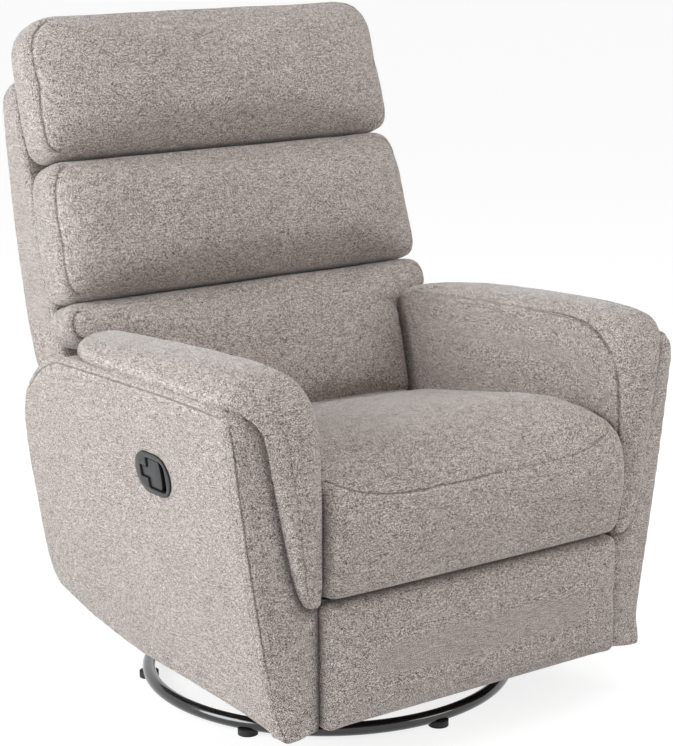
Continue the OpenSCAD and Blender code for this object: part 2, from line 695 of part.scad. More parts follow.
// Seat cushion: side profile rows are shares of its length and height, with how far each point draws in
// at the cushion's sides, along the length and the height.
seat_len = seat_front + seat_rear;
lip_drop = 1;
lip_depth = 59;
seat_low = seat_frame_z - lip_drop;
seat_high = seat_top - seat_low;
lip_share = (seat_plate_top + soft_gap - seat_low) / seat_high;
lip_len_share = lip_depth / seat_len;
seat_shares = [[0.045, 0.0, 0.5, 0.2], [0.02, 0.09, 1, 0.1], [0.004, 0.26, 1, 0], [0, 0.44, 1, 0],
    [0.006, 0.62, 1, 0], [0.02, 0.78, 1, -0.3], [0.045, 0.89, 0.6, -0.8], [0.08, 0.955, 0.3, -1],
    [0.13, 0.99, 0, -1], [0.2, 1, 0, -1], [0.3, 0.985, 0, -1], [0.42, 0.935, 0, -1], [0.55, 0.87, 0, -1],
    [0.68, 0.8, 0, -1], [0.8, 0.74, 0, -0.9], [0.9, 0.69, 0, -0.6], [0.96, 0.65, -0.3, -0.4],
    [0.99, 0.59, -1, -0.2],    [1, 0.5, -1, 0], [1, 0.3, -1, 0]];
seat_row_count = 22;
seat_crown = 16;
seat_round = 15;
module seat_cushion() color("rosybrown") skin([for (i = [0:seat_row_count]) let (
        u = -cos(180 * i / seat_row_count),
        e = seat_round * (1 - sqrt(1 - 0.98 * pow(abs(u), 8))),
        c = seat_crown * (1 - u * u))
    [for (p = seat_shares)
        [u * seat_w / 2, p[0] * seat_len - seat_front + p[2] * e,
            seat_low + p[1] * seat_high + p[3] * (e - c)],
     for (s = [1, 0.75, 0.5, 0.25])
        [u * seat_w / 2, lip_len_share * seat_len * (1 - s) + s * seat_len - seat_front
            - (s == 1 ? e : 0), seat_low + lip_share * seat_high],
     [u * seat_w / 2, lip_len_share * seat_len - seat_front, seat_low + lip_share * seat_high],
     [u * seat_w / 2, lip_len_share * seat_len - seat_front, seat_low]]]);

// Back
module back_bracket() color("silver") {
    side(layer1_x, link_t) translate([crease_y, crease_z]) rotate(-lean) polygon([
        for (q = [[frame_w0 - bracket_back, bracket_v], [frame_w1, bracket_v],
            [frame_w1, bracket_v + 4 * bracket_w],
            [frame_w0, bracket_v + 4 * bracket_w], [frame_w0 - bracket_back, bracket_v + 3 * bracket_w]])
            [-q[0], q[1]]]);
    pin_x([pivot_y, pivot_z], back_pin_r, layer1_x + link_t / 2, seat_plate_x + seat_plate_t + pin_proud);
}
module back_bracket_left() back_bracket();
module back_bracket_right() mirror([1, 0, 0]) back_bracket();

module back_frame() color("burlywood") on_back() translate([0, -frame_w1, 0]) {
    for (s = [-1, 1]) translate([s * (layer1_x - post_w / 2) - post_w / 2, 0, post_v0])
        cube([post_w, post_w, shell_v1 - shell_t - post_v0 - soft_gap]);
    for (v = [post_v0 + rail_v, mid_h - rail_v / 2]) translate([-layer1_x + post_w / 2, 0, v])
        cube([2 * layer1_x - post_w, post_w, rail_v]);
    translate([-shell_hw + 2 * shell_t, 0, shell_v1 - shell_t - soft_gap - rail_v])
        cube([2 * (shell_hw - 2 * shell_t), post_w, rail_v]);
}

module back_springs() color("dimgray") on_back() for (i = [-1.5:1:1.5])
    translate([i * layer1_x / 2.4, -frame_w1, post_v0 + 2 * rail_v - wire]) rotate([90, 0, 0])
        linear_extrude(wire) zigzag(mid_h - rail_v / 2 - post_v0 - 2 * rail_v + 2 * wire);

module lower_back_cushion() color("rosybrown") on_back()
    back_cushion(-lumbar_h, -soft_gap,
        [[wing_v - wing_step, seat_w / 2], [wing_v, back_hw], [0, back_hw * 0.985]], 0.78, 0.8);
module middle_back_cushion() color("rosybrown") on_back()
    back_cushion(soft_gap, mid_h, [[0, back_hw * 0.985], [mid_h, back_hw * 0.965]], 0.8, 0.8);
module head_cushion() color("rosybrown") on_back()
    back_cushion(mid_h + 2 * soft_gap, mid_h + head_h,
        [[mid_h, back_hw * 0.965], [mid_h + head_h, back_hw * 0.93]], 0.8, 0.45);

// The outer back: a hollow shell behind the cushions and a tail that runs down between the arms.
shell_deep = 84;
shell_y = -frame_w1;
shell_shares = [[0.98, 0.3], [0.86, 0.65], [0.66, 0.92]];
module shell_side(inset) polygon(concat(
    [[shell_y + soft_gap, shell_v0 + inset], [shell_y + shell_deep - inset, shell_v0 + inset]],
    [for (p = shell_shares) [shell_y + shell_deep * p[0] - inset, shell_v1 * p[1]]],
    [[shell_y + shell_deep / 2 - inset, shell_v1 - inset], [shell_y + soft_gap, shell_v1 - inset]]));
module back_shell() color("darkgray") on_back() {
    difference() {
        side(-shell_hw, 2 * shell_hw) shell_side(0);
        translate([0, -over, 0]) side(-shell_hw + shell_t, 2 * (shell_hw - shell_t)) shell_side(shell_t);
        translate([-layer1_x - run_gap, shell_y - over, shell_v0 - over])
            cube([2 * (layer1_x + run_gap), shell_deep - shell_t + over, shell_t + 2 * over]);
    }
    translate([-tail_hw, shell_y + shell_deep - shell_t, tail_v])
        cube([2 * tail_hw, shell_t, shell_v0 + shell_t / 2 - tail_v]);
}

// Footrest
module torque_tube() color("dimgray") {
    difference() {
        pin_x(foot_p, torque_r, -layer1_x, layer1_x);
        pin_x(foot_p, torque_r - torque_wall, -layer1_x - over, layer1_x + over);
    }
    both() {
        difference() {
            side(crank_x, link_t) bar(foot_p, hook_p);
            pin_x(foot_p, torque_r - torque_wall / 2, 0, layer1_x);
        }
        pin_x(hook_p, bolt_r, pull_x - run_gap, crank_x + link_t / 2);
    }
}

module rear_link() color("silver") {
    difference() {
        side(layer1_x, link_t) bar(foot_p, foot_a);
        for (p = [foot_m, foot_a]) pin_x(p, pin_r + fit, layer1_x - over, layer1_x + link_t + over);
    }
    pin_x(foot_p, foot_pin_r, layer1_x + link_t / 2, seat_plate_x + seat_plate_t + pin_proud);
}
module rear_link_left() rear_link();
module rear_link_right() mirror([1, 0, 0]) rear_link();

module cross_link() color("silver") {
    difference() {
        side(layer2_x, link_t) bar(foot_b0, foot_b1);
        pin_x(foot_b1, pin_r + fit, layer2_x - over, layer2_x + link_t + over);
    }
    pin_x(foot_m, pin_r, layer2_x + link_t / 2, layer1_x + link_t);
}
module cross_link_left() cross_link();
module cross_link_right() mirror([1, 0, 0]) cross_link();

module support_link() color("silver") {
    difference() {
        side(layer1_x, link_t) bar(foot_b1, foot_x);
        pin_x(foot_x, pin_r + fit, layer1_x - over, layer1_x + link_t + over);
    }
    pin_x(foot_b1, pin_r, layer2_x, layer1_x + link_t / 2);
}
module support_link_left() support_link();
module support_link_right() mirror([1, 0, 0]) support_link();

module front_link() color("silver") {
    difference() {
        side(layer2_x, link_t) bar(foot_a, foot_e);
        pin_x(foot_e, pin_r + fit, layer2_x - over, layer2_x + link_t + over);
    }
    for (p = [foot_a, foot_x]) pin_x(p, pin_r, layer2_x + link_t / 2, layer1_x + link_t);
}
module front_link_left() front_link();
module front_link_right() mirror([1, 0, 0]) front_link();

module footrest_bracket() color("silver") {
    side(layer3_x, link_t) {
        translate(foot_e) circle(d = link_w);
        translate([board_y + flange_t / 2, foot_e[1] - link_w / 2 + eye_inset])
            square([foot_e[0] - board_y, link_w - 2 * eye_inset]);
    }
    translate([layer3_x + link_t - flange_w, board_y, foot_bottom + flange_low])
        cube([flange_w, flange_t, foot_top - foot_bottom - flange_low - flange_high]);
    pin_x(foot_e, pin_r, layer3_x + link_t / 2, layer2_x + link_t);
}
module footrest_bracket_left() footrest_bracket();
module footrest_bracket_right() mirror([1, 0, 0]) footrest_bracket();

module footrest_board() color("burlywood")
    translate([-foot_w / 2 + board_side_inset, board_y - board_t, foot_bottom + board_end_inset])
        cube([foot_w - 2 * board_side_inset, board_t, foot_top - foot_bottom - 2 * board_end_inset]);

foot_row_count = 16;
foot_crown = 8;
foot_depth = foot_front + board_y - board_t;
module footrest_pad() color("rosybrown") translate([0, board_y - board_t - soft_gap, 0])
    skin([for (i = [0:foot_row_count]) let (
            s = -cos(180 * i / foot_row_count),
            r = sqrt(1 - 0.96 * pow(abs(s), 6)))
        padded_ring(foot_w / 2 * (0.975 + 0.025 * r), (foot_depth - foot_crown) * (0.35 + 0.65 * r),
            foot_crown * r,
            function (u) (foot_top + foot_bottom) / 2
                + s * (foot_top - foot_bottom) / 2 * (1 - 0.02 * pow(u, 4)))]);

// Extension springs between the cranks and the seat plates: a body and an eye round each stud
module footrest_springs() color("dimgray") both() {
    d = tab_p - hook_p;
    for (p = [hook_p, tab_p]) difference() {
        pin_x(p, pull_r, pull_x, pull_x + link_t);
        pin_x(p, bolt_r + fit, pull_x - over, pull_x + link_t + over);
    }
    translate([pull_x + link_t / 2, hook_p[0], hook_p[1]]) rotate([atan2(d[1], d[0]) - 90, 0, 0]) {
        translate([0, 0, bolt_r + run_gap]) cylinder(r = link_t / 2, h = norm(d) - 2 * (bolt_r + run_gap));
        translate([0, 0, link_w / 2 + run_gap])
            cylinder(r = pull_r - run_gap, h = norm(d) - link_w - 2 * run_gap);
    }
}

base_ring();
base_cross_bars();
glide_pads();
lower_bearing_race();
bearing_balls();
swivel_bolt();
upper_bearing_race();
turning_frame();
lower_spring_clamps();
rocker_springs();
upper_spring_clamps();
rocker_cam_left();
rocker_cam_right();
cross_tubes();
side_plate_left();
side_plate_right();
arm_bolts();
arm_board_left();
arm_board_right();
arm_inner_panel_left();
arm_inner_panel_right();
arm_outer_panel_left();
arm_outer_panel_right();
arm_front_panel_left();
arm_front_panel_right();
arm_pad_left();
arm_pad_right();
rear_cover();
handle_bezel();
handle_pin();
handle_paddle();
release_cable();
release_latch();
seat_plate_left();
seat_plate_right();
seat_frame();
seat_springs();
seat_cushion();
back_bracket_left();
back_bracket_right();
back_frame();
back_springs();
lower_back_cushion();
middle_back_cushion();
head_cushion();
back_shell();
torque_tube();
rear_link_left();
rear_link_right();
cross_link_left();
cross_link_right();
support_link_left();
support_link_right();
front_link_left();
front_link_right();
footrest_bracket_left();
footrest_bracket_right();
footrest_board();
footrest_pad();
footrest_springs();
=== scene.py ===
import math
import bpy
import numpy as np
from mathutils import Matrix, Vector, noise


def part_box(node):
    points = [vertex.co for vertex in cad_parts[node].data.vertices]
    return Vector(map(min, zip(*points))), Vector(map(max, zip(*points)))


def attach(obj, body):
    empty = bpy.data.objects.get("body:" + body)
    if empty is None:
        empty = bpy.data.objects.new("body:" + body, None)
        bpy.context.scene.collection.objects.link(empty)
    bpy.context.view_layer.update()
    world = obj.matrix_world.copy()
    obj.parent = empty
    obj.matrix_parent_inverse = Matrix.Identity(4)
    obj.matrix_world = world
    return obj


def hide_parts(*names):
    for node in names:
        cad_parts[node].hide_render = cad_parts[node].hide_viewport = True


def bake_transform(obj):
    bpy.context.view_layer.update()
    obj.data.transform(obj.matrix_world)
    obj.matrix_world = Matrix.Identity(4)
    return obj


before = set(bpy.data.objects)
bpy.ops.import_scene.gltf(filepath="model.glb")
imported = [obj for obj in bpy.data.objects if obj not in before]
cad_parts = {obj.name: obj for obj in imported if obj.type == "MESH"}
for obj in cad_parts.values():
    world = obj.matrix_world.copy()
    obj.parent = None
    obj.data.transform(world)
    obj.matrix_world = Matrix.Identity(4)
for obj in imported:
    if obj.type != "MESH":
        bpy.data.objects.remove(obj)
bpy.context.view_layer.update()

# Camera
# The chair is seen from its front right and a little above the arms, through a long lens.
view_turn = math.radians(-35.607)
view_rise = math.radians(13.497)
view_roll = math.radians(-0.3405)
view_target = Vector((-0.000256, -0.028506, 0.483319))
view_distance = 3.19686
photo_height_px = 746
focal_px = 2117.6
sensor_mm = 36.0
backward = Vector((math.sin(view_turn) * math.cos(view_rise), -math.cos(view_turn) * math.cos(view_rise),
                   math.sin(view_rise)))
level_right = (-backward).cross(Vector((0, 0, 1))).normalized()
level_up = level_right.cross(-backward)
right = math.cos(view_roll) * level_right + math.sin(view_roll) * level_up
up = -math.sin(view_roll) * level_right + math.cos(view_roll) * level_up
bpy.ops.object.camera_add(location=view_target + backward * view_distance)
camera = bpy.context.object
camera.name = "camera"
camera.matrix_world = Matrix.Translation(view_target + backward * view_distance) @ Matrix(
    (right, up, backward)).transposed().to_4x4()
camera.data.lens = sensor_mm * focal_px / photo_height_px
camera.data.sensor_width = sensor_mm
camera.data.sensor_fit = "AUTO"
camera.data.clip_end = 50
bpy.context.scene.camera = camera
bpy.context.scene.view_settings.view_transform = "Standard"

# Base ring, its cross bars and the turning frame
# Bent steel tube and welded flat bars, painted gloss black. Six rubber pads under the ring grip the floor.
def new_material(name):
    """A new material, its node tree and its Principled shader."""
    made = bpy.data.materials.new(name)
    made.use_nodes = True
    return made, made.node_tree, made.node_tree.nodes["Principled BSDF"]


def set_sockets(node, **values):
    """Sets the plain values of a shader node's inputs, with _ for a space in the name."""
    for name, value in values.items():
        node.inputs[name.replace("_", " ")].default_value = value


def add_node(tree, kind, place, **settings):
    """A shader node with its settings and its plain socket values given by name."""
    added = tree.nodes.new(kind)
    added.location = place
    for name, value in settings.items():
        if hasattr(added, name):
            setattr(added, name, value)
        else:
            set_sockets(added, **{name: value})
    return added


def join(tree, *pairs):
    """Joins shader nodes, each pair given as [node, output, node, input]."""
    for giver, output, taker, given in pairs:
        tree.links.new(giver.outputs[output], taker.inputs[given])


def dress(nodes, material):
    """Puts a material on CAD nodes that stay visible."""
    for name in nodes:
        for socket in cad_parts[name].material_slots:
            socket.material = material


def new_group(name, entry_x, exit_x, values, outputs):
    """A node group fed with a vector and named values, with its entry and its exit. Outputs are [name, kind]."""
    tree = bpy.data.node_groups.new(name, "ShaderNodeTree")
    tree.interface.new_socket(name="Vector", in_out="INPUT", socket_type="NodeSocketVector")
    for line, value in values.items():
        tree.interface.new_socket(name=line, in_out="INPUT", socket_type="NodeSocketFloat").default_value = value
    for line, kind in outputs.items():
        tree.interface.new_socket(name=line, in_out="OUTPUT", socket_type="NodeSocket" + kind)
    return tree, add_node(tree, "NodeGroupInput", (entry_x, 0)), add_node(tree, "NodeGroupOutput", (exit_x, 0))


def make_worn_group():
    """Fine wear for painted and plated parts: a mask of rubbed spots, a smear of gloss and a surface height."""
    tree, start, end = new_group("handled_surface", -600, 500, {"Patch Size": 30.0, "Grain Size": 700.0},
                                 {"Wear": "Float", "Smear": "Float", "Height": "Float"})
    patch = add_node(tree, "ShaderNodeTexNoise", (-300, 200), Detail=4.0, Roughness=0.6)
    grain = add_node(tree, "ShaderNodeTexNoise", (-300, -200), Detail=2.0)
    rubbed = add_node(tree, "ShaderNodeMapRange", (0, 200), interpolation_type="SMOOTHSTEP", From_Min=0.58,
                      From_Max=0.74)
    join(tree, (start, "Vector", patch, "Vector"), (start, "Vector", grain, "Vector"),
         (start, "Patch Size", patch, "Scale"), (start, "Grain Size", grain, "Scale"),
         (patch, "Fac", rubbed, "Value"), (rubbed, "Result", end, "Wear"), (patch, "Fac", end, "Smear"),
         (grain, "Fac", end, "Height"))
    return tree


handled_surface = make_worn_group()


def hard_material(name, colour, worn_colour, roughness, metallic, grain_height, patch_size=30.0, grain_size=700.0,
                  stretch=(1, 1, 1), coat=0.0):
    """Paint, plating, rubber or plastic: one colour with rubbed spots, uneven gloss and a fine grain."""
    made, tree, shader = new_material(name)
    place = add_node(tree, "ShaderNodeTexCoord", (-1200, 0))
    turn = add_node(tree, "ShaderNodeMapping", (-1000, 0), Scale=stretch)
    worn = add_node(tree, "ShaderNodeGroup", (-800, 0), node_tree=handled_surface, Patch_Size=patch_size,
                    Grain_Size=grain_size)
    colours = add_node(tree, "ShaderNodeMix", (-400, 200), data_type="RGBA", A=(*colour, 1), B=(*worn_colour, 1))
    gloss = add_node(tree, "ShaderNodeMapRange", (-400, -50), To_Min=roughness * 0.75, To_Max=roughness * 1.3)
    bump = add_node(tree, "ShaderNodeBump", (-400, -300), Strength=0.6, Distance=grain_height)
    join(tree, (place, "Object", turn, "Vector"), (turn, "Vector", worn, "Vector"), (worn, "Wear", colours, "Factor"),
         (worn, "Smear", gloss, "Value"), (worn, "Height", bump, "Height"), (colours, "Result", shader, "Base Color"),
         (gloss, "Result", shader, "Roughness"), (bump, "Normal", shader, "Normal"))
    set_sockets(shader, Metallic=metallic, Coat_Weight=coat)
    return made


gloss_black = hard_material("gloss_black_paint", (0.006, 0.006, 0.007), (0.02, 0.02, 0.022), 0.16, 0.0, 0.00004,
                            coat=0.6)
pad_rubber = hard_material("glide_rubber", (0.018, 0.018, 0.018), (0.05, 0.048, 0.045), 0.7, 0.0, 0.0002)
dress(["base_ring", "base_cross_bars", "turning_frame"], gloss_black)
dress(["glide_pads"], pad_rubber)

# Swivel bearing
# Two pressed and hardened steel races with a ring of loose balls between them, held by one bolt.
race_steel = hard_material("race_steel", (0.42, 0.42, 0.43), (0.3, 0.29, 0.28), 0.28, 1.0, 0.00003)
ball_steel = hard_material("ball_steel", (0.6, 0.6, 0.62), (0.5, 0.5, 0.5), 0.12, 1.0, 0.00001)
dress(["lower_bearing_race", "upper_bearing_race", "swivel_bolt"], race_steel)
dress(["bearing_balls"], ball_steel)

# Rocker
# Four coil springs in pressed clamps hold two wooden rocking cams, joined by steel tubes under the seat.
def paint_ramp(ramp, stops):
    """Sets the stops of a colour ramp, given as [position, colour]."""
    elements = ramp.color_ramp.elements
    for element, (position, colour) in zip(elements, (stops[0], stops[-1])):
        element.position, element.color = position, (*colour, 1)
    for position, colour in stops[1:-1]:
        elements.new(position).color = (*colour, 1)


def wood_material(name, pale, dark, grain_along):
    made, tree, shader = new_material(name)
    place = add_node(tree, "ShaderNodeTexCoord", (-1200, 0))
    turn = add_node(tree, "ShaderNodeMapping", (-1000, 0), Scale=grain_along)
    rings = add_node(tree, "ShaderNodeTexNoise", (-800, 150), Scale=60.0, Detail=5.0, Distortion=0.6)
    pores = add_node(tree, "ShaderNodeTexNoise", (-800, -150), Scale=420.0, Detail=3.0)
    ramp = add_node(tree, "ShaderNodeValToRGB", (-550, 150))
    paint_ramp(ramp, [(0.35, dark), (0.65, pale)])
    bump = add_node(tree, "ShaderNodeBump", (-400, -300), Strength=0.5, Distance=0.0004)
    join(tree, (place, "Object", turn, "Vector"), (turn, "Vector", rings, "Vector"),
         (turn, "Vector", pores, "Vector"), (rings, "Fac", ramp, "Fac"), (pores, "Fac", bump, "Height"),
         (ramp, "Color", shader, "Base Color"), (bump, "Normal", shader, "Normal"))
    set_sockets(shader, Roughness=0.65)
    return made


zinc = hard_material("zinc_plate", (0.4, 0.4, 0.41), (0.27, 0.27, 0.28), 0.34, 1.0, 0.00005, patch_size=22.0,
                     stretch=(6, 1, 1))
spring_wire = hard_material("spring_wire", (0.16, 0.16, 0.17), (0.09, 0.085, 0.08), 0.36, 1.0, 0.00005)
beech = wood_material("sawn_beech", (0.50, 0.33, 0.18), (0.36, 0.22, 0.11), (9, 1, 9))
pine = wood_material("sawn_pine", (0.62, 0.43, 0.24), (0.48, 0.30, 0.15), (9, 1, 9))
dress(["lower_spring_clamps", "upper_spring_clamps", "cross_tubes", "side_plate_left", "side_plate_right",
       "arm_bolts", "handle_pin", "release_latch"], zinc)


def clear_selection():
    if bpy.context.object and bpy.context.object.mode != "OBJECT":
        bpy.ops.object.mode_set(mode="OBJECT")
    bpy.ops.object.select_all(action="DESELECT")


def make_active(piece):
    """Selects the piece alone, ready for Blender's operators."""
    clear_selection()
    piece.select_set(True)
    bpy.context.view_layer.objects.active = piece


def stretched(node, name):
    """A copy of a spring in a mesh of its own, with its doubled points merged and the CAD spring hidden."""
    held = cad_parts[node]
    spring = bpy.data.objects.new(name, held.data.copy())
    bpy.context.collection.objects.link(spring)
    spring.data.transform(held.matrix_world)
    make_active(spring)
    bpy.ops.object.mode_set(mode="EDIT")
    bpy.ops.mesh.select_all(action="SELECT")
    bpy.ops.mesh.remove_doubles(threshold=1e-6)
    bpy.ops.object.mode_set(mode="OBJECT")
    spring.data.materials.clear()
    spring.data.materials.append(spring_wire)
    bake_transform(spring)
    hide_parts(node)


stretched("rocker_springs", "rocking_springs")
dress(["rocker_cam_left", "rocker_cam_right"], beech)
dress(["arm_board_left", "arm_board_right"], pine)

# Arm side panels
# Padded board covered in chenille, with the cover turned under all round and sewn twice along the front edge.
arm_foot_x = 0.3151
arm_lean = math.radians(8.72)
side_panel_thick = 0.014
side_panel_edge = [(-0.362, 0.081), (-0.3495, 0.098), (-0.344, 0.13), (-0.34, 0.277), (-0.337, 0.368),
                   (-0.338, 0.453), (-0.342, 0.515), (-0.337, 0.535), (-0.322, 0.5465), (-0.2, 0.5475),
                   (0.073, 0.5395), (0.122, 0.537), (0.15, 0.528), (0.176, 0.516), (0.198, 0.502), (0.224, 0.48),
                   (0.24, 0.462), (0.255, 0.428), (0.261, 0.394), (0.264, 0.343), (0.263, 0.289), (0.265, 0.244),
                   (0.265, 0.195), (0.26, 0.164), (0.243, 0.141), (0.216, 0.133), (0.154, 0.116), (0.072, 0.103),
                   (0.007, 0.096), (-0.099, 0.094), (-0.198, 0.092), (-0.281, 0.088), (-0.335, 0.082)]


def make_chenille_group():
    """Heathered chenille: pale and dark yarn mixed along the weft, with sewn lines given as distances in metres.
    Along them the colour carries painted shade in the groove and painted highlight on the cloth beside it.
    """
    tree, start, end = new_group("chenille_weave", -1400, 1200, {"Seam": 1.0, "Stitch": 1.0},
                                 {"Color": "Color", "Roughness": "Float", "Height": "Float"})
    weft = add_node(tree, "ShaderNodeMapping", (-1200, 200), Scale=(1.0, 1.0, 1.25))
    slub_place = add_node(tree, "ShaderNodeMapping", (-1200, -100), Scale=(1.0, 1.3, 5.0))
    fleck = add_node(tree, "ShaderNodeTexNoise", (-900, 300), Scale=980.0, Detail=1.0, Roughness=0.6)
    slub = add_node(tree, "ShaderNodeTexNoise", (-900, 50), Scale=70.0, Detail=3.0, Roughness=0.65)
    patch = add_node(tree, "ShaderNodeTexNoise", (-900, -200), Scale=13.0, Detail=3.0, Roughness=0.6)
    mixed = add_node(tree, "ShaderNodeMath", (-650, 250), operation="MULTIPLY_ADD")
    mixed.inputs[1].default_value = 0.86
    weighed = add_node(tree, "ShaderNodeMath", (-800, 50), operation="MULTIPLY")
    weighed.inputs[1].default_value = 0.14
    yarn = add_node(tree, "ShaderNodeValToRGB", (-450, 250))
    yarn.color_ramp.interpolation = "EASE"
    paint_ramp(yarn, [(0.440, (0.018, 0.014, 0.011)), (0.471, (0.13, 0.106, 0.093)), (0.502, (0.36, 0.307, 0.277)),
                      (0.535, (0.60, 0.526, 0.485)), (0.575, (0.88, 0.79, 0.737))])
    shade = add_node(tree, "ShaderNodeMix", (-450, -50), data_type="RGBA", A=(0.93, 0.90, 0.885, 1),
                     B=(1.05, 1.07, 1.085, 1))
    tinted = add_node(tree, "ShaderNodeVectorMath", (-100, 200), operation="MULTIPLY")
    rough = add_node(tree, "ShaderNodeMapRange", (200, -50), To_Min=0.96, To_Max=0.84)
    line_reach, line_peak = 0.008, 1.25
    # Painted shade and painted highlight at each distance from a sewn line: darker in the groove, paler on the raised
    # cloth beside it. [metres, share]
    painted_seam_shade_and_highlight = {"Seam": [(-0.0056, 1.0), (-0.0036, 1.2), (-0.0017, 0.95), (0.0, 0.38), (0.0015, 0.85),
                         (0.0032, 1.06), (0.0056, 1.0)],
                "Stitch": [(-0.004, 1.0), (-0.002, 1.06), (-0.0011, 0.95), (0.0, 0.58), (0.0011, 0.92),
                           (0.0024, 1.0)]}
    sewn = add_node(tree, "ShaderNodeMath", (-100, -400), operation="MULTIPLY")
    for place, (line, profile) in enumerate(painted_seam_shade_and_highlight.items()):
        spread = add_node(tree, "ShaderNodeMapRange", (-650, -400 - 250 * place), From_Min=-line_reach,
                          From_Max=line_reach)
        brightness = add_node(tree, "ShaderNodeValToRGB", (-450, -400 - 250 * place))
        paint_ramp(brightness, [((d + line_reach) / (2 * line_reach), (v / line_peak,) * 3) for d, v in profile])
        join(tree, (start, line, spread, "Value"), (spread, "Result", brightness, "Fac"),
             (brightness, "Color", sewn, place))
    full = add_node(tree, "ShaderNodeMath", (100, -400), operation="MULTIPLY")
    full.inputs[1].default_value = line_peak ** 2
    colour_with_painted_seam_light = add_node(tree, "ShaderNodeVectorMath", (300, 200), operation="SCALE")
    join(tree, (start, "Vector", weft, "Vector"), (start, "Vector", slub_place, "Vector"),
         (weft, "Vector", fleck, "Vector"), (slub_place, "Vector", slub, "Vector"),
         (start, "Vector", patch, "Vector"), (slub, "Fac", weighed, 0), (fleck, "Fac", mixed, 0),
         (weighed, "Value", mixed, 2), (mixed, "Value", yarn, "Fac"), (patch, "Fac", shade, "Factor"),
         (yarn, "Color", tinted, 0), (shade, "Result", tinted, 1), (sewn, "Value", full, 0),
         (tinted, "Vector", colour_with_painted_seam_light, 0), (full, "Value", colour_with_painted_seam_light, "Scale"), (mixed, "Value", rough, "Value"),
         (colour_with_painted_seam_light, "Vector", end, "Color"), (rough, "Result", end, "Roughness"), (mixed, "Value", end, "Height"))
    return tree


chenille_weave = make_chenille_group()


def make_chenille():
    made, tree, shader = new_material("chenille")
    place = add_node(tree, "ShaderNodeTexCoord", (-1200, 100))
    seam = add_node(tree, "ShaderNodeAttribute", (-1200, -150), attribute_name="seam")
    stitch = add_node(tree, "ShaderNodeAttribute", (-1200, -350), attribute_name="stitch")
    weave = add_node(tree, "ShaderNodeGroup", (-800, 0), node_tree=chenille_weave)
    bump = add_node(tree, "ShaderNodeBump", (-400, -300), Strength=0.6, Distance=0.0008)
    join(tree, (place, "Object", weave, "Vector"), (seam, "Fac", weave, "Seam"), (stitch, "Fac", weave, "Stitch"),
         (weave, "Color", shader, "Base Color"), (weave, "Roughness", shader, "Roughness"),
         (weave, "Height", bump, "Height"), (bump, "Normal", shader, "Normal"))
    set_sockets(shader, Sheen_Weight=0.45, Sheen_Roughness=0.35, Specular_IOR_Level=0.25)
    return made


chenille = make_chenille()


def points_of(piece):
    spots = np.zeros(len(piece.data.vertices) * 3)
    piece.data.vertices.foreach_get("co", spots)
    return spots.reshape(-1, 3)


def move_points(piece, spots):
    piece.data.vertices.foreach_set("co", np.asarray(spots, float).ravel())
    piece.data.update()


def normals_of(piece):
    facing = np.zeros(len(piece.data.vertices) * 3)
    piece.data.vertices.foreach_get("normal", facing)
    return facing.reshape(-1, 3)


def evenly(edge, count=240, closed=True):
    """A drawn outline, walked round in equal steps."""
    edge = np.asarray(edge, float)
    if closed:
        edge = np.vstack([edge, edge[:1]])
    lengths = np.concatenate([[0], np.cumsum(np.linalg.norm(np.diff(edge, axis=0), axis=1))])
    steps = np.linspace(0, lengths[-1], count, endpoint=not closed)
    return np.column_stack([np.interp(steps, lengths, edge[:, k]) for k in range(edge.shape[1])])


def face_outward():
    """Turns every face of the piece in edit mode outward."""
    bpy.ops.mesh.select_all(action="SELECT")
    bpy.ops.mesh.normals_make_consistent(inside=False)


def slab(name, edge, low, high, rim):
    """An outline drawn flat, extruded to its thickness, with both rims rounded."""
    clear_selection()
    flat = evenly(edge)
    if np.sum(flat[:, 0] * np.roll(flat[:, 1], -1) - np.roll(flat[:, 0], -1) * flat[:, 1]) < 0:
        flat = flat[::-1]
    bpy.ops.mesh.primitive_circle_add(vertices=len(flat), radius=1, fill_type="NGON", location=(0, 0, 0))
    piece = bpy.context.object
    piece.name = name
    move_points(piece, np.column_stack([flat, np.full(len(flat), low)]))
    bpy.ops.object.mode_set(mode="EDIT")
    bpy.ops.mesh.select_all(action="SELECT")
    bpy.ops.mesh.extrude_region_move(TRANSFORM_OT_translate={"value": (0, 0, high - low)})
    face_outward()
    if rim > 0:
        bpy.ops.mesh.select_all(action="DESELECT")
        bpy.ops.object.mode_set(mode="OBJECT")
        heights = points_of(piece)[:, 2]
        level = (low + high) / 2
        for bend in piece.data.edges:
            a, b = bend.vertices
            bend.select = bool((heights[a] - level) * (heights[b] - level) > 0)
        bpy.ops.object.mode_set(mode="EDIT")
        bpy.ops.mesh.bevel(offset=rim, segments=4, affect="EDGES", clamp_overlap=False)
    bpy.ops.object.mode_set(mode="OBJECT")
    return piece


def apply_modifier(piece, modifier):
    make_active(piece)
    bpy.ops.object.modifier_apply(modifier=modifier.name)


def even_mesh(piece, voxel, passes=4):
    """Covers the piece in even quads of one size and takes the steps out of them."""
    remesh = piece.modifiers.new("even_mesh", "REMESH")
    remesh.mode = "VOXEL"
    remesh.voxel_size = voxel
    apply_modifier(piece, remesh)
    if passes:
        smooth = piece.modifiers.new("smooth", "SMOOTH")
        smooth.factor = 0.5
        smooth.iterations = passes
        apply_modifier(piece, smooth)


def place_points(piece, rule):
    """Carries the piece from the flat it was drawn on to its place in the chair."""
    move_points(piece, rule(points_of(piece)))
    make_active(piece)
    bpy.ops.object.mode_set(mode="EDIT")
    face_outward()
    bpy.ops.object.mode_set(mode="OBJECT")


def distance_to(edge, spots, closed=True):
    """Distance in metres of each point from a drawn line."""
    edge = np.asarray(edge, float)
    starts = edge if closed else edge[:-1]
    ends = np.roll(edge, -1, axis=0) if closed else edge[1:]
    best = np.full(len(spots), 9.0)
    for a, b in zip(starts, ends):
        step = b - a
        share = np.clip(((spots - a) @ step) / max(step @ step, 1e-12), 0, 1)
        best = np.minimum(best, np.linalg.norm(spots - a - share[:, None] * step, axis=1))
    return best


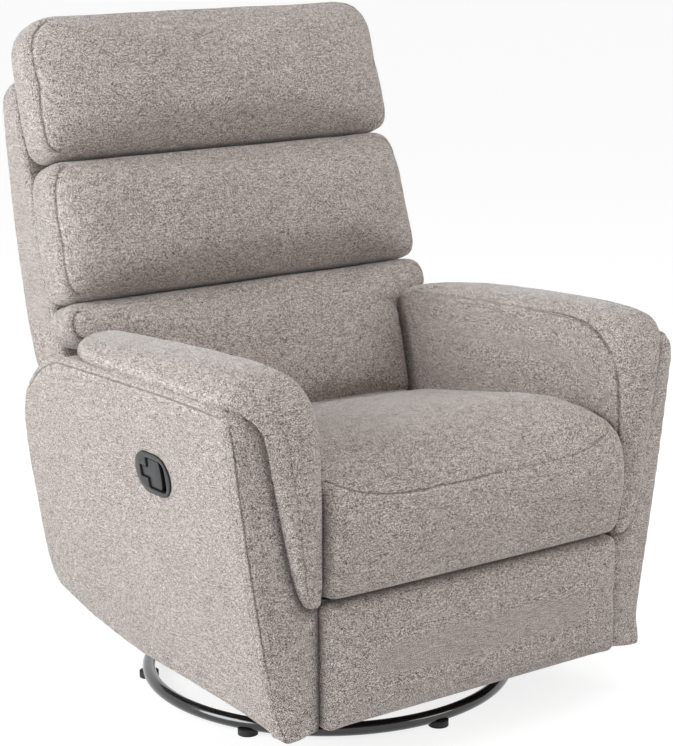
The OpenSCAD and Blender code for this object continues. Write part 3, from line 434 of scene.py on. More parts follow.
def mark(piece, name, distances):
    """Writes how far each point lies from a sewn line, in metres, for the chenille material, which paints shade and
    highlight along it. Some pieces write scaled distances from a crevice here instead, for painted shade.
    """
    attribute = piece.data.attributes.get(name) or piece.data.attributes.new(name, "FLOAT", "POINT")
    attribute.data.foreach_set("value", np.asarray(distances, np.float32))


def upholster(piece, body, nodes, seam=None, stitch=None):
    """Covers a soft piece in chenille and fixes it to its part of the chair."""
    for line, distances in (("seam", seam), ("stitch", stitch)):
        if distances is not None or line not in piece.data.attributes:
            mark(piece, line, np.ones(len(piece.data.vertices)) if distances is None else distances)
    piece.data.materials.clear()
    piece.data.materials.append(chenille)
    make_active(piece)
    bpy.ops.object.shade_smooth()
    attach(piece, body)
    if nodes:
        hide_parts(*nodes)


def groove(piece, distances, depth, half_width):
    """Pulls the cover in along a sewn line."""
    pulled = depth * np.exp(-(distances / half_width) ** 2)
    move_points(piece, points_of(piece) - normals_of(piece) * pulled[:, None])


def belly(height):
    """How far the side of the arm swells out between its foot and its top."""
    return 0.0045 * np.sin(np.pi * np.clip((height - 0.08) / 0.46, 0, 1))


def lean_out(spots, side=1):
    """From the flat of the side panel (forward-back, height, thickness) to the leaning arm."""
    return np.column_stack([
        side * (arm_foot_x + spots[:, 2] * math.cos(arm_lean) + spots[:, 1] * math.sin(arm_lean)),
        spots[:, 0], spots[:, 1] * math.cos(arm_lean) - spots[:, 2] * math.sin(arm_lean)])


handle_y, handle_z = -0.123, 0.418
handle_long, handle_tall = 0.090, 0.062


def rounded_bar(middle_y, middle_z, long, tall, count=48):
    """A bar with half-round ends, drawn flat."""
    reach = (long - tall) / 2
    turns = np.linspace(0, 2 * np.pi, count, endpoint=False) + 1e-4
    return np.column_stack([middle_y + np.sign(np.cos(turns)) * reach + tall / 2 * np.cos(turns),
                            middle_z + tall / 2 * np.sin(turns)])


def cut_out(piece, cutter):
    """Cuts the shape of the cutter out of the piece and throws the cutter away."""
    cut = piece.modifiers.new("cut", "BOOLEAN")
    cut.operation = "DIFFERENCE"
    cut.solver = "EXACT"
    cut.object = cutter
    apply_modifier(piece, cut)
    bpy.data.objects.remove(cutter)


def make_side_panel(name, side, with_handle):
    edge = np.asarray(side_panel_edge) * (1, 1 / math.cos(arm_lean))
    piece = slab(name, edge, -side_panel_thick, 0, 0.005)
    even_mesh(piece, 0.0045, 3)
    flat = points_of(piece)
    from_edge = distance_to(evenly(edge), flat[:, :2])
    outward = flat[:, 2] > -side_panel_thick / 2
    side_crown, top_inset, front_inset = 0.003, 0.0095, 0.0105
    crown = side_crown * (1 - np.exp(-from_edge / 0.05)) + belly(flat[:, 1])
    if with_handle:
        from_handle = distance_to(rounded_bar(handle_y, handle_z, handle_long, handle_tall), flat[:, :2])
        inside = np.hypot(np.maximum(np.abs(flat[:, 0] - handle_y) - (handle_long - handle_tall) / 2, 0),
                          flat[:, 1] - handle_z) < handle_tall / 2
        crown *= np.where(inside, 0.1, 0.1 + 0.9 * (1 - np.exp(-(from_handle / 0.045) ** 2)))
    flat[:, 2] += np.where(outward, crown, 0)
    move_points(piece, flat)
    from_front = distance_to(edge[:8], flat[:, :2], closed=False)
    from_top = distance_to(edge[8:16], flat[:, :2], closed=False)
    top_seam = np.where(outward, top_inset - from_top, 1.0)
    front_stitch = np.where(outward & (flat[:, 1] < 0.535), from_front - front_inset, 1.0)
    groove(piece, top_seam, 0.0014, 0.003)
    groove(piece, front_stitch, 0.0006, 0.003)
    mark(piece, "seam", top_seam)
    mark(piece, "stitch", front_stitch)
    if with_handle:
        hole = slab("handle_hole", rounded_bar(handle_y, handle_z, handle_long - 0.008, handle_tall - 0.008),
                    -0.05, 0.05, 0)
        cut_out(piece, hole)
    place_points(piece, lambda spots: lean_out(spots, side))
    return piece


for name, side in (("left", 1), ("right", -1)):
    panel = make_side_panel("arm_side_cover_" + name, side, with_handle=side < 0)
    upholster(panel, "rocker", ["arm_outer_panel_" + name])

# Arm edge bands
# The strip of chenille that closes each arm along its top, down its rear and under its rear corner.
band_edge = [(-0.325, 0.5425), (-0.2, 0.5445), (0.073, 0.5365), (0.120, 0.534), (0.148, 0.525), (0.174, 0.5125),
             (0.195, 0.4985), (0.221, 0.477), (0.237, 0.459), (0.2515, 0.427), (0.2575, 0.394), (0.2605, 0.343),
             (0.2595, 0.289), (0.2615, 0.244), (0.2615, 0.195), (0.2565, 0.166), (0.2405, 0.1445), (0.215, 0.1365),
             (0.153, 0.1195), (0.072, 0.1065)]
band_thick = 0.007
outer_line = np.asarray(band_edge)
along = np.gradient(outer_line, axis=0)
inward = np.column_stack([along[:, 1], -along[:, 0]]) / np.linalg.norm(along, axis=1)[:, None]
band = slab("arm_edge_band_left", np.vstack([outer_line, (outer_line + inward * band_thick)[::-1]]), 0, 1, 0)
band_inner_x = 0.268


def mirrored(piece, name):
    """The same piece for the other arm: copied, with its own mesh, and turned over in X."""
    other = piece.copy()
    other.data = piece.data.copy()
    other.name = name
    bpy.context.scene.collection.objects.link(other)
    other.data.transform(Matrix.Scale(-1, 4, (1, 0, 0)))
    other.data.flip_normals()
    return other


def upholster_both(left, name, nodes):
    """Covers the left arm's piece and its mirrored copy. The nodes' names are given without their side."""
    for side, piece in (("left", left), ("right", mirrored(left, name + "right"))):
        upholster(piece, "rocker", [node + side for node in nodes])


def widen(spots):
    """Stretches the band from the inner panel to the leaning side panel."""
    outer = arm_foot_x + math.tan(arm_lean) * spots[:, 1] - 0.011
    return np.column_stack([band_inner_x + (outer - band_inner_x) * spots[:, 2], spots[:, 0], spots[:, 1]])


place_points(band, widen)
even_mesh(band, 0.0045, 1)
upholster_both(band, "arm_edge_band_", [])

# Arm front panels
# A narrow padded strip closes the front of each arm, sewn to the side cover along its outer corner.
arm_inner_x = 0.265
front_face_y = 0.3545
front_depth = 0.0325
front_slant = 0.0125
# Where the arm pad's outer wall meets the strip, and below it the gap beside the footrest, along which the strip is
# darkened with painted shade: [outward, up]
pad_wall_foot = [(0.368, 0.540), (0.352, 0.513), (0.3465, 0.490), (0.3395, 0.455), (0.3325, 0.42), (0.3255, 0.385),
                 (0.319, 0.35), (0.3125, 0.32), (0.3055, 0.295), (0.299, 0.278), (0.292, 0.267), (0.285, 0.261),
                 (0.2665, 0.259), (0.2655, 0.16), (0.2655, 0.086)]


def make_front_panel(name):
    outer_low = arm_foot_x + math.tan(arm_lean) * 0.082 - 0.001
    outer_high = arm_foot_x + math.tan(arm_lean) * 0.53 - 0.001
    edge = [(arm_inner_x - 0.001, 0.084), (arm_inner_x + 0.005, 0.0815), (outer_low - 0.012, 0.0775),
            (outer_low - 0.002, 0.077), (outer_low, 0.081), (outer_high, 0.53), (outer_high - 0.003, 0.538),
            (outer_high - 0.010, 0.5435), (0.330, 0.5435), (arm_inner_x + 0.004, 0.5375), (arm_inner_x - 0.001, 0.53)]
    piece = slab(name, edge, front_face_y - front_depth, front_face_y, 0.004)
    even_mesh(piece, 0.0042, 3)
    spots = points_of(piece)
    outer = arm_foot_x + math.tan(arm_lean) * spots[:, 1]
    share = np.clip((spots[:, 0] - arm_inner_x) / (outer - arm_inner_x), 0, 1)
    front = np.clip((spots[:, 2] - front_face_y + front_depth) / front_depth, 0, 1)
    low_down = np.clip((0.125 - spots[:, 1]) / 0.045, 0, 1)
    crown = 0.003 * np.sin(np.pi * share)
    spots[:, 2] += front * (crown - front_slant * share ** 2.5 * (1 - low_down) + 0.006 * low_down * share)
    near_top = np.clip((spots[:, 1] - 0.508) / 0.036, 0, 1)
    spots[:, 2] -= front * 0.018 * near_top ** 2
    spots[:, 0] += share * belly(spots[:, 1])
    move_points(piece, spots)
    from_corner = outer + belly(spots[:, 1]) - spots[:, 0]
    stitch = np.where((front > 0.3) & (spots[:, 1] < 0.535), from_corner - 0.0035, 1.0)
    groove(piece, stitch, 0.0012, 0.003)
    from_pad = distance_to(np.array(pad_wall_foot), spots[:, :2], closed=False)
    # Painted shade: near the pad's wall and the gap beside the footrest the strip is darkened, most at the crevice
    # and fading over about 10 mm to a faint pale band, carried in the seam attribute
    stitch = np.where(np.abs(stitch) < from_pad * 0.16, stitch, from_pad * 0.16)
    place_points(piece, lambda p: p[:, [0, 2, 1]] * (1, -1, 1))
    mark(piece, "seam", stitch)
    return piece


upholster_both(make_front_panel("arm_front_cover_left"), "arm_front_cover_", ["arm_front_panel_"])

# Arm inner panels
# The thin padded board that faces the seat, with the chenille pulled smooth over it.
inner_panel_edge = [(-0.345, 0.088), (0.0, 0.092), (0.154, 0.112), (0.235, 0.150), (0.248, 0.19), (0.25, 0.40),
                    (0.238, 0.45), (0.205, 0.49), (0.185, 0.520), (0.165, 0.545), (0.138, 0.5535), (-0.012, 0.5635),
                    (-0.162, 0.5725), (-0.247, 0.5725), (-0.285, 0.569), (-0.312, 0.5595), (-0.335, 0.543),
                    (-0.350, 0.522), (-0.359, 0.495), (-0.3625, 0.46), (-0.3635, 0.40), (-0.3625, 0.30),
                    (-0.359, 0.268), (-0.353, 0.262), (-0.352, 0.15)]


def inner_seam(forward, height):
    """Distance from the seam between an arm's inner panel and its pad, along the top and down the front."""
    line = np.array([(y, z) for y, z in inner_panel_edge if z > 0.262 and y < 0.14])
    return distance_to(line, np.column_stack([forward, height]), closed=False)


def make_inner_panel(name):
    piece = slab(name, inner_panel_edge, arm_inner_x - 0.0005, arm_inner_x + 0.010, 0.004)
    even_mesh(piece, 0.0045)
    flat = points_of(piece)
    from_edge = distance_to(evenly(inner_panel_edge), flat[:, :2])
    inward = flat[:, 2] < arm_inner_x + 0.004
    above_seat = np.clip((flat[:, 1] - 0.42) / 0.05, 0, 1) * np.clip((0.1 - flat[:, 0]) / 0.08, 0, 1)
    flat[:, 2] -= np.where(inward, above_seat * 0.003 * (1 - np.exp(-from_edge / 0.04)), 0)
    move_points(piece, flat)
    mark(piece, "seam", np.where(inward, inner_seam(flat[:, 0], flat[:, 1]) - 0.001, 1.0))
    place_points(piece, lambda p: p[:, [2, 0, 1]])
    return piece


upholster_both(make_inner_panel("arm_inner_cover_left"), "arm_inner_cover_", ["arm_inner_panel_"])

# Arm pads
# A long stuffed pad lies along the top of each arm, rolls over its front and tapers to a rounded tip.
# Its cover is sewn from a top piece and a narrow inner strip, so a seam runs near the inner edge.
pad_section = [(0.0, 0.30), (0.0, 0.62), (0.012, 0.74), (0.05, 0.86), (0.14, 0.95), (0.34, 1.0), (0.60, 0.985),
               (0.76, 0.92), (0.88, 0.78), (0.955, 0.55), (0.99, 0.28), (1.0, 0.0)]
pad_bend = (-0.290, 0.490)
# Along the top: [y, crown height, outer edge height, outer edge x]
pad_top_rows = [(0.170, 0.5435, 0.535, 0.312), (0.164, 0.549, 0.536, 0.327), (0.150, 0.5535, 0.537, 0.341),
                (0.130, 0.5565, 0.538, 0.355), (0.108, 0.559, 0.5385, 0.368), (0.085, 0.561, 0.539, 0.378),
                (0.06, 0.5635, 0.5395, 0.3865), (0.03, 0.566, 0.540, 0.3915), (0.0, 0.5685, 0.5405, 0.393),
                (-0.08, 0.5745, 0.541, 0.3935), (-0.16, 0.579, 0.5415, 0.3935), (-0.23, 0.582, 0.5415, 0.393),
                (-0.275, 0.582, 0.541, 0.3925)]
# Round the bend: [degrees above straight ahead, crown radius, outer edge radius, outer edge x]
pad_bend_rows = [(78, 0.0905, 0.0505, 0.390), (66, 0.0895, 0.0495, 0.386), (54, 0.089, 0.049, 0.378),
                 (42, 0.088, 0.049, 0.369), (30, 0.0865, 0.049, 0.360), (16, 0.0850, 0.0495, 0.352)]
# Down the front: [z, crown distance ahead of the axis, outer edge distance, outer edge x]
pad_front_rows = [(0.490, 0.3735, 0.3405, 0.3465), (0.455, 0.3745, 0.3455, 0.3395), (0.42, 0.3745, 0.3505, 0.3325),
                  (0.385, 0.3745, 0.3535, 0.3255), (0.35, 0.3735, 0.3555, 0.319), (0.32, 0.3725, 0.3563, 0.3125),
                  (0.295, 0.371, 0.357, 0.3055), (0.278, 0.369, 0.357, 0.299), (0.267, 0.3665, 0.357, 0.292),
                  (0.2625, 0.363, 0.357, 0.285)]


def rolled(name, rings):
    """A grid rolled into a tube ring by ring, and closed at both ends."""
    clear_selection()
    rows, sides = len(rings), len(rings[0])
    bpy.ops.mesh.primitive_grid_add(x_subdivisions=sides, y_subdivisions=rows - 1, size=1, location=(0, 0, 0))
    piece = bpy.context.object
    piece.name = name
    spots = points_of(piece)
    along = np.rint((spots[:, 1] + 0.5) * (rows - 1)).astype(int)
    around = np.rint((spots[:, 0] + 0.5) * sides).astype(int) % sides
    move_points(piece, np.asarray(rings)[along, around])
    bpy.ops.object.mode_set(mode="EDIT")
    bpy.ops.mesh.select_all(action="SELECT")
    bpy.ops.mesh.remove_doubles(threshold=1e-6)
    bpy.ops.mesh.select_all(action="DESELECT")
    bpy.ops.mesh.select_non_manifold()
    bpy.ops.mesh.fill_holes(sides=0)
    face_outward()
    bpy.ops.object.mode_set(mode="OBJECT")
    return piece


def pad_ring(toward, inner_x, outer_x, crown, outer, under):
    """One section of the pad. toward gives the point at a share across and a level along the padding."""
    upper = evenly([(inner_x + (outer_x - inner_x) * u, outer + (crown - outer) * k) for u, k in pad_section], 28,
                   closed=False)
    lower = evenly([(outer_x, outer - 0.002), (outer_x - 0.004, under), (inner_x + 0.001, under)], 14, closed=False)
    return [toward(x, level) for x, level in np.vstack([upper, lower])]


def make_pad(name):
    rings = []
    for y, crown, outer, outer_x in pad_top_rows:
        rings.append(pad_ring(lambda x, h: (x, y, h), 0.268, outer_x, crown, outer, min(outer - 0.003, 0.532)))
    for turn, crown, outer, outer_x in pad_bend_rows:
        a = math.radians(turn)
        inner = 0.266 + 0.002 * turn / 90
        rings.append(pad_ring(lambda x, r: (x, pad_bend[0] - r * math.cos(a), pad_bend[1] + r * math.sin(a)), inner,
                              outer_x, crown, outer, outer - 0.004))
    for z, crown, outer, outer_x in pad_front_rows:
        rings.append(pad_ring(lambda x, d: (x, -d, z), 0.266, outer_x, crown, outer, outer - 0.004))
    return rolled(name, rings)


def plump(piece, limit, held):
    """Lets the cover swell on its stuffing as cloth does. No point leaves its cut shape by more than its limit."""
    cut = points_of(piece)
    pins = piece.vertex_groups.new(name="held")
    pins.add([int(k) for k in np.flatnonzero(held)], 1.0, "REPLACE")
    swell = piece.modifiers.new("swell", "CLOTH")
    cloth = dict(quality=5, mass=0.35, tension_stiffness=12, compression_stiffness=12, shear_stiffness=6,
                 bending_stiffness=0.6, air_damping=4, shrink_min=-0.02, use_pressure=True,
                 uniform_pressure_force=4.0, vertex_group_mass="held")
    for setting, value in cloth.items():
        setattr(swell.settings, setting, value)
    swell.settings.effector_weights.gravity = 0
    swell.collision_settings.use_collision = False
    settling_frames = 20
    for step in range(1, settling_frames + 1):
        bpy.context.scene.frame_set(step)
    apply_modifier(piece, swell)
    bpy.context.scene.frame_set(1)
    piece.vertex_groups.clear()
    moved = points_of(piece) - cut
    far = np.linalg.norm(moved, axis=1).clip(1e-9)
    move_points(piece, cut + moved * (limit * np.tanh(far / limit) / far)[:, None])
    finer = piece.modifiers.new("finer", "SUBSURF")
    finer.levels = finer.render_levels = 1
    apply_modifier(piece, finer)


pad_left = make_pad("arm_pad_cover_left")
even_mesh(pad_left, 0.0045, 3)
pad_spots = points_of(pad_left)
pad_facing = normals_of(pad_left)
pad_out = np.clip(pad_facing[:, 2] - pad_facing[:, 1], 0, 1) * np.clip((pad_spots[:, 0] - 0.268) / 0.02, 0, 1)
plump(pad_left, 0.0006 + 0.005 * pad_out, pad_facing[:, 2] - pad_facing[:, 1] < -0.3)
pad_spots = points_of(pad_left)
section_line = sorted([(-y, x) for y, _, _, x in pad_top_rows])
pad_outer_x = np.where(pad_spots[:, 2] > 0.53, np.interp(-pad_spots[:, 1], *zip(*section_line)),
                       np.interp(pad_spots[:, 2], *zip(*sorted([(z, x) for z, _, _, x in pad_front_rows] +
                                                               [(0.513, 0.352), (0.532, 0.369), (0.56, 0.388)]))))
pad_facing = normals_of(pad_left)
pad_upper = (pad_facing[:, 2] - pad_facing[:, 1]) > 0.1
pad_share = (pad_spots[:, 0] - 0.267) / (pad_outer_x - 0.267)
pad_stitch = np.where(pad_upper & (pad_spots[:, 1] < -0.24), (pad_share - 0.70) * (pad_outer_x - 0.267), 1.0)
pad_seam_and_painted_rim_light = np.where(pad_spots[:, 0] < 0.274, inner_seam(pad_spots[:, 1], pad_spots[:, 2]) - 0.001, 1.0)
outer_rim = np.array([(x, y, z) for y, _, z, x in pad_top_rows] + [
    (x, pad_bend[0] - rim * math.cos(math.radians(turn)), pad_bend[1] + rim * math.sin(math.radians(turn)))
    for turn, _, rim, x in pad_bend_rows] + [(x, -rim, z) for z, _, rim, x in pad_front_rows])
from_rim = distance_to(outer_rim, pad_spots, closed=False)
# Painted shade and painted highlight along the pad's outer rim: dark at the crevice where it meets the arm, a pale
# band about 13 mm in, carried in the seam attribute
pad_seam_and_painted_rim_light = np.where(from_rim < 0.020, -from_rim * 0.27, pad_seam_and_painted_rim_light)
groove(pad_left, pad_stitch, 0.0008, 0.004)
mark(pad_left, "stitch", pad_stitch)
mark(pad_left, "seam", pad_seam_and_painted_rim_light)
upholster_both(pad_left, "arm_pad_cover_", ["arm_pad_"])

# Rear cover
# A plain strip of covered board between the arms at the back, low down.
low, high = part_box("rear_cover")
rear_edge = [(low.x + 0.001, low.z), (high.x - 0.001, low.z), (high.x - 0.001, high.z), (low.x + 0.001, high.z)]
rear_cover = slab("rear_cover_cloth", rear_edge, low.y, high.y, 0.003)
even_mesh(rear_cover, 0.005)
place_points(rear_cover, lambda p: p[:, [0, 2, 1]])
upholster(rear_cover, "rocker", ["rear_cover"])

# Release handle
# A moulded cup is let into the right side panel. Its T-shaped paddle turns on a pin near its rear end, and the
# fingers pull it out by its front edge, where a slot is left open.
handle_plastic = hard_material("handle_plastic", (0.021, 0.021, 0.022), (0.03, 0.03, 0.03), 0.34, 0.0, 0.00012,
                               patch_size=40.0, grain_size=1400.0)
cable_sheath = hard_material("cable_sheath", (0.01, 0.01, 0.01), (0.02, 0.02, 0.02), 0.45, 0.0, 0.00005)
# Painted shade: a darker plastic for the cup's deep inner faces, where the moulding is in shadow
painted_recess_shade = hard_material("painted_recess_shade", (0.004, 0.004, 0.004), (0.006, 0.006, 0.006), 0.6, 0.0, 0.00005)
dress(["release_cable"], cable_sheath)
# The opening and the paddle as drawn from the middle of the handle, upper half: [rearward, upward]
opening_half = [(0.0315, 0.0088), (0.0138, 0.0088), (0.0134, 0.0220), (0.0110, 0.0232), (-0.0240, 0.0232),
                (-0.0300, 0.0210), (-0.0338, 0.0155), (-0.0350, 0.0080)]
paddle_half = [(0.0292, 0.0070), (0.0116, 0.0070), (0.0113, 0.0198), (0.0098, 0.0210), (-0.0155, 0.0210),
               (-0.0185, 0.0183), (-0.0200, 0.0090)]
cup_depth, bezel_lip, paddle_thick = 0.020, 0.0038, 0.007


def handle_outline(half):
    """Both halves of an outline, moved to the handle's place on the panel."""
    half = np.asarray(half)
    return np.vstack([half, (half * (1, -1))[::-1]]) + (handle_y, handle_z)


def let_in(piece, body, node, material, edge):
    """Rounds a moulded part's edges and sets it into the right side panel."""
    rounding = piece.modifiers.new("rounded_edges", "BEVEL")
    rounding.width = edge
    rounding.segments = 3
    rounding.angle_limit = math.radians(50)
    apply_modifier(piece, rounding)
    place_points(piece, lambda spots: lean_out(spots, -1))
    piece.data.materials.clear()
    for finish in (material, painted_recess_shade):
        piece.data.materials.append(finish)
    make_active(piece)
    bpy.ops.object.shade_smooth_by_angle(angle=math.radians(40))
    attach(piece, body)
    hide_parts(node)


bezel = slab("handle_bezel_cup", rounded_bar(handle_y, handle_z, handle_long, handle_tall), -cup_depth, bezel_lip, 0)
cut_out(bezel, slab("opening", handle_outline(opening_half), -cup_depth + 0.003, 0.02, 0))
let_in(bezel, "rocker", "handle_bezel", handle_plastic, 0.0012)
# Faces deeper than the lip take the darker plastic of painted shade.
for face in bezel.data.polygons:
    depth = (abs(face.center.x) - arm_foot_x - face.center.z * math.tan(arm_lean)) * math.cos(arm_lean)
    face.material_index = int(depth < bezel_lip - 0.003)
paddle = slab("handle_paddle_plate", handle_outline(paddle_half), -paddle_thick, 0.0016, 0)
let_in(paddle, "handle", "handle_paddle", handle_plastic, 0.0007)

# Seat
# Steel seat plates and a wooden frame with zigzag springs carry a deep foam cushion with a waterfall front.
plated_pairs = ("seat_plate", "rear_link", "cross_link", "front_link", "support_link", "footrest_bracket",
                "back_bracket")
dress([pair + side for pair in plated_pairs for side in ("_left", "_right")] + ["torque_tube"], zinc)
dress(["seat_springs", "back_springs", "footrest_springs"], spring_wire)
dress(["seat_frame", "back_frame", "footrest_board"], pine)
seat_half = 0.2625
seat_profile = [(0.139, 0.303), (0.141, 0.34), (0.140, 0.375), (0.132, 0.386), (0.10, 0.392), (0.006, 0.407),
                (-0.118, 0.427), (-0.206, 0.443), (-0.268, 0.449), (-0.318, 0.4455), (-0.350, 0.438),
                (-0.372, 0.424), (-0.384, 0.405), (-0.390, 0.375), (-0.391, 0.345), (-0.386, 0.31),
                (-0.378, 0.283), (-0.368, 0.2725), (-0.350, 0.2695), (-0.333, 0.272), (-0.331, 0.303)]


def settle(piece, depth, size, where):
    """Leaves the cover a little uneven, as loose fibre under it does. Depth and size are in metres."""
    spots = points_of(piece)
    uneven = np.array([noise.noise(Vector(spot) / size) for spot in spots])
    move_points(piece, spots + normals_of(piece) * (depth * uneven * where)[:, None])


def seat_seam_height(x):
    """The front seam rises toward both sides of the seat."""
    return 0.439 - 0.032 * (1 - np.abs(x / 0.258) ** 5)


seat = slab("seat_cover", seat_profile, -seat_half, seat_half, 0.014)
even_mesh(seat, 0.0065, 5)
seat_crown, front_crown = 0.011, 0.004
spots = points_of(seat)
across = spots[:, 2] / seat_half
high_up = np.clip((spots[:, 1] - 0.34) / 0.08, 0, 1)
ahead = np.clip((-spots[:, 0] - 0.33) / 0.05, 0, 1)
spots[:, 1] += seat_crown * high_up * (1 - np.abs(across) ** 3)
spots[:, 0] -= front_crown * ahead * (1 - across ** 4)
move_points(seat, spots)
place_points(seat, lambda p: p[:, [2, 0, 1]])
spots = points_of(seat)
from_side = (seat_half - np.abs(spots[:, 0])).clip(0)
on_show = np.clip((spots[:, 2] - 0.30) / 0.06, 0, 1) * np.clip((0.10 - spots[:, 1]) / 0.08, 0, 1)
plump(seat, 0.0008 + 0.009 * on_show * (1 - np.exp(-from_side / 0.02)), (spots[:, 2] < 0.31) | (spots[:, 1] > 0.12))
spots = points_of(seat)
shown = np.clip((spots[:, 2] - 0.32) / 0.05, 0, 1) * np.clip((0.22 - np.abs(spots[:, 0])) / 0.04, 0.1, 1)
settle(seat, 0.006, 0.13, shown * np.clip((0.08 - spots[:, 1]) / 0.08, 0, 1))
spots = points_of(seat)
seam_front = spots[:, 1] < -0.352
seat_line = np.where(seam_front & (spots[:, 2] > 0.37), spots[:, 2] - seat_seam_height(spots[:, 0]), 1.0)
groove(seat, seat_line, 0.0014, 0.005)
# The seam's painted shade uses the stronger seam profile where x is below 0.03 and the weaker stitch profile beyond.
crisp = spots[:, 0] < 0.03
upholster(seat, "seat", ["seat_cushion"], np.where(crisp, seat_line, 1.0), np.where(crisp, 1.0, seat_line))

# Back cushions
# Three boxed foam cushions one above the other. A panel faces the sitter, sewn all round to a side strip.
back_lean = math.radians(17.8)
back_foot = (0.198, 0.595)
# Each cushion: [height up the back, half width] round its right half from the bottom up
cushions = {
    "lower_back_cover": dict(
        half=[(-0.223, 0.2630), (-0.10, 0.2635), (-0.084, 0.267), (-0.074, 0.280), (-0.068, 0.300), (-0.062, 0.323),
              (-0.050, 0.336), (-0.030, 0.3385), (-0.010, 0.333), (-0.001, 0.318), (-0.0005, 0.300)],
        low=-0.223, high=-0.0006, rear=-0.066, bulge=0.022, sag=0.0, node="lower_back_cushion"),
    "middle_back_cover": dict(
        half=[(0.0006, 0.300), (0.001, 0.316), (0.010, 0.3285), (0.03, 0.332), (0.07, 0.3318), (0.15, 0.330),
              (0.19, 0.3235), (0.206, 0.315), (0.2145, 0.300), (0.215, 0.28)],
        low=0.0006, high=0.215, rear=-0.066, bulge=0.034, sag=-0.14, node="middle_back_cushion"),
    "head_cover": dict(
        half=[(0.2162, 0.285), (0.217, 0.303), (0.226, 0.317), (0.245, 0.3235), (0.29, 0.3245), (0.36, 0.3235),
              (0.39, 0.321), (0.41, 0.314), (0.426, 0.300), (0.436, 0.282), (0.439, 0.262)],
        low=0.2162, high=0.439, rear=-0.064, bulge=0.034, sag=-0.14, node="head_cushion")}


cushion_face, strip_pull, crease_depth = 0.004, 0.009, 0.010


def whole_outline(half):
    """An outline that is the same left and right, from its right half."""
    half = np.array([(across, up) for up, across in half])
    return np.vstack([half, (half * (-1, 1))[::-1]])


def up_the_back(spots):
    """From a cushion's flat (across, up the back, toward the sitter) to its place on the leaning back."""
    up_back, out = spots[:, 1], spots[:, 2]
    return np.column_stack([spots[:, 0],
                            back_foot[0] - out * math.cos(back_lean) + up_back * math.sin(back_lean),
                            back_foot[1] + out * math.sin(back_lean) + up_back * math.cos(back_lean)])


for name, facts in cushions.items():
    low, high, rear, sag = (facts[key] for key in ("low", "high", "rear", "sag"))
    heights, widths = zip(*facts["half"])
    piece = slab(name, whole_outline(facts["half"]), rear, cushion_face, 0.008)
    even_mesh(piece, 0.006, 4)
    spots = points_of(piece)
    s = np.clip((spots[:, 1] - (low + high) / 2) / ((high - low) / 2) - sag, -1.1, 1.1)
    s = np.clip(np.where(s > 0, s / (1 - sag), s / (1 + sag)), -1, 1)
    roll = (1 - np.abs(s) ** 2.6) ** 0.6
    half_here = np.interp(spots[:, 1], heights, widths)
    from_side = np.clip(half_here - np.abs(spots[:, 0]), 0, 1)
    beside_arm = np.clip((-0.07 - spots[:, 1]) / 0.02, 0, 1)
    fade = 1 - np.exp(-from_side / (0.045 - 0.035 * beside_arm))
    forward = np.clip((spots[:, 2] - rear) / (cushion_face - rear), 0, 1)
    from_ends = np.minimum(spots[:, 1] - low, high - spots[:, 1]).clip(0)
    near_crease = np.exp(-from_ends / 0.012) * np.clip((spots[:, 1] + 0.15) / 0.05, 0, 1)
    spots[:, 2] += forward ** 2 * (facts["bulge"] * roll * fade - crease_depth * near_crease)
    spots[:, 0] *= 1 - strip_pull / half_here * np.clip((spots[:, 2] + 0.012) / 0.02, 0, 1) ** 2 * (1 - beside_arm)
    move_points(piece, spots)
    from_side = (half_here - strip_pull - np.abs(spots[:, 0])).clip(0)
    loose = 0.0008 + 0.010 * np.clip((spots[:, 2] + 0.03) / 0.04, 0, 1) * (1 - np.exp(-from_side / 0.02)) * (
        0.25 + 0.75 * (1 - np.exp(-from_ends / 0.015)))
    plump(piece, loose, spots[:, 2] < -0.045)
    settle(piece, 0.007, 0.11, normals_of(piece)[:, 2].clip(0))
    spots = points_of(piece)
    half_here = np.interp(spots[:, 1], heights, widths)
    seam = np.where(np.abs(spots[:, 0]) > half_here - 0.022, 0.002 - spots[:, 2], 1.0)
    place_points(piece, up_the_back)
    groove(piece, seam, 0.002, 0.0035)
    upholster(piece, "back", [facts["node"]], seam)

# Outer back
# A stiff shell of covered board closes the chair behind the cushions, with a tail between the arms.
shell_half = [(-0.300, 0.236), (-0.115, 0.238), (-0.099, 0.25), (-0.095, 0.30), (-0.090, 0.316), (-0.07, 0.3215),
              (0, 0.3225), (0.28, 0.3225), (0.335, 0.320), (0.354, 0.310), (0.3625, 0.290), (0.364, 0.27)]
shell_rear, shell_front = -0.1655, -0.0685
shell = slab("outer_back_cover", whole_outline(shell_half), shell_rear, shell_front, 0.010)
even_mesh(shell, 0.006, 4)
spots = points_of(shell)
hollow_start = -0.0745
behind = np.clip((-spots[:, 2] + hollow_start) / (hollow_start - shell_rear), 0, 1)
# How much shallower the shell gets toward its top: [height up the back], [metres]
shallower = np.interp(spots[:, 1], [-0.1, 0.0, 0.105, 0.165, 0.25, 0.34, 0.364],
                      [0, 0, 0.010, 0.018, 0.034, 0.050, 0.064])
spots[:, 2] += behind * shallower
move_points(shell, spots)
place_points(shell, up_the_back)
upholster(shell, "back", ["back_shell"])

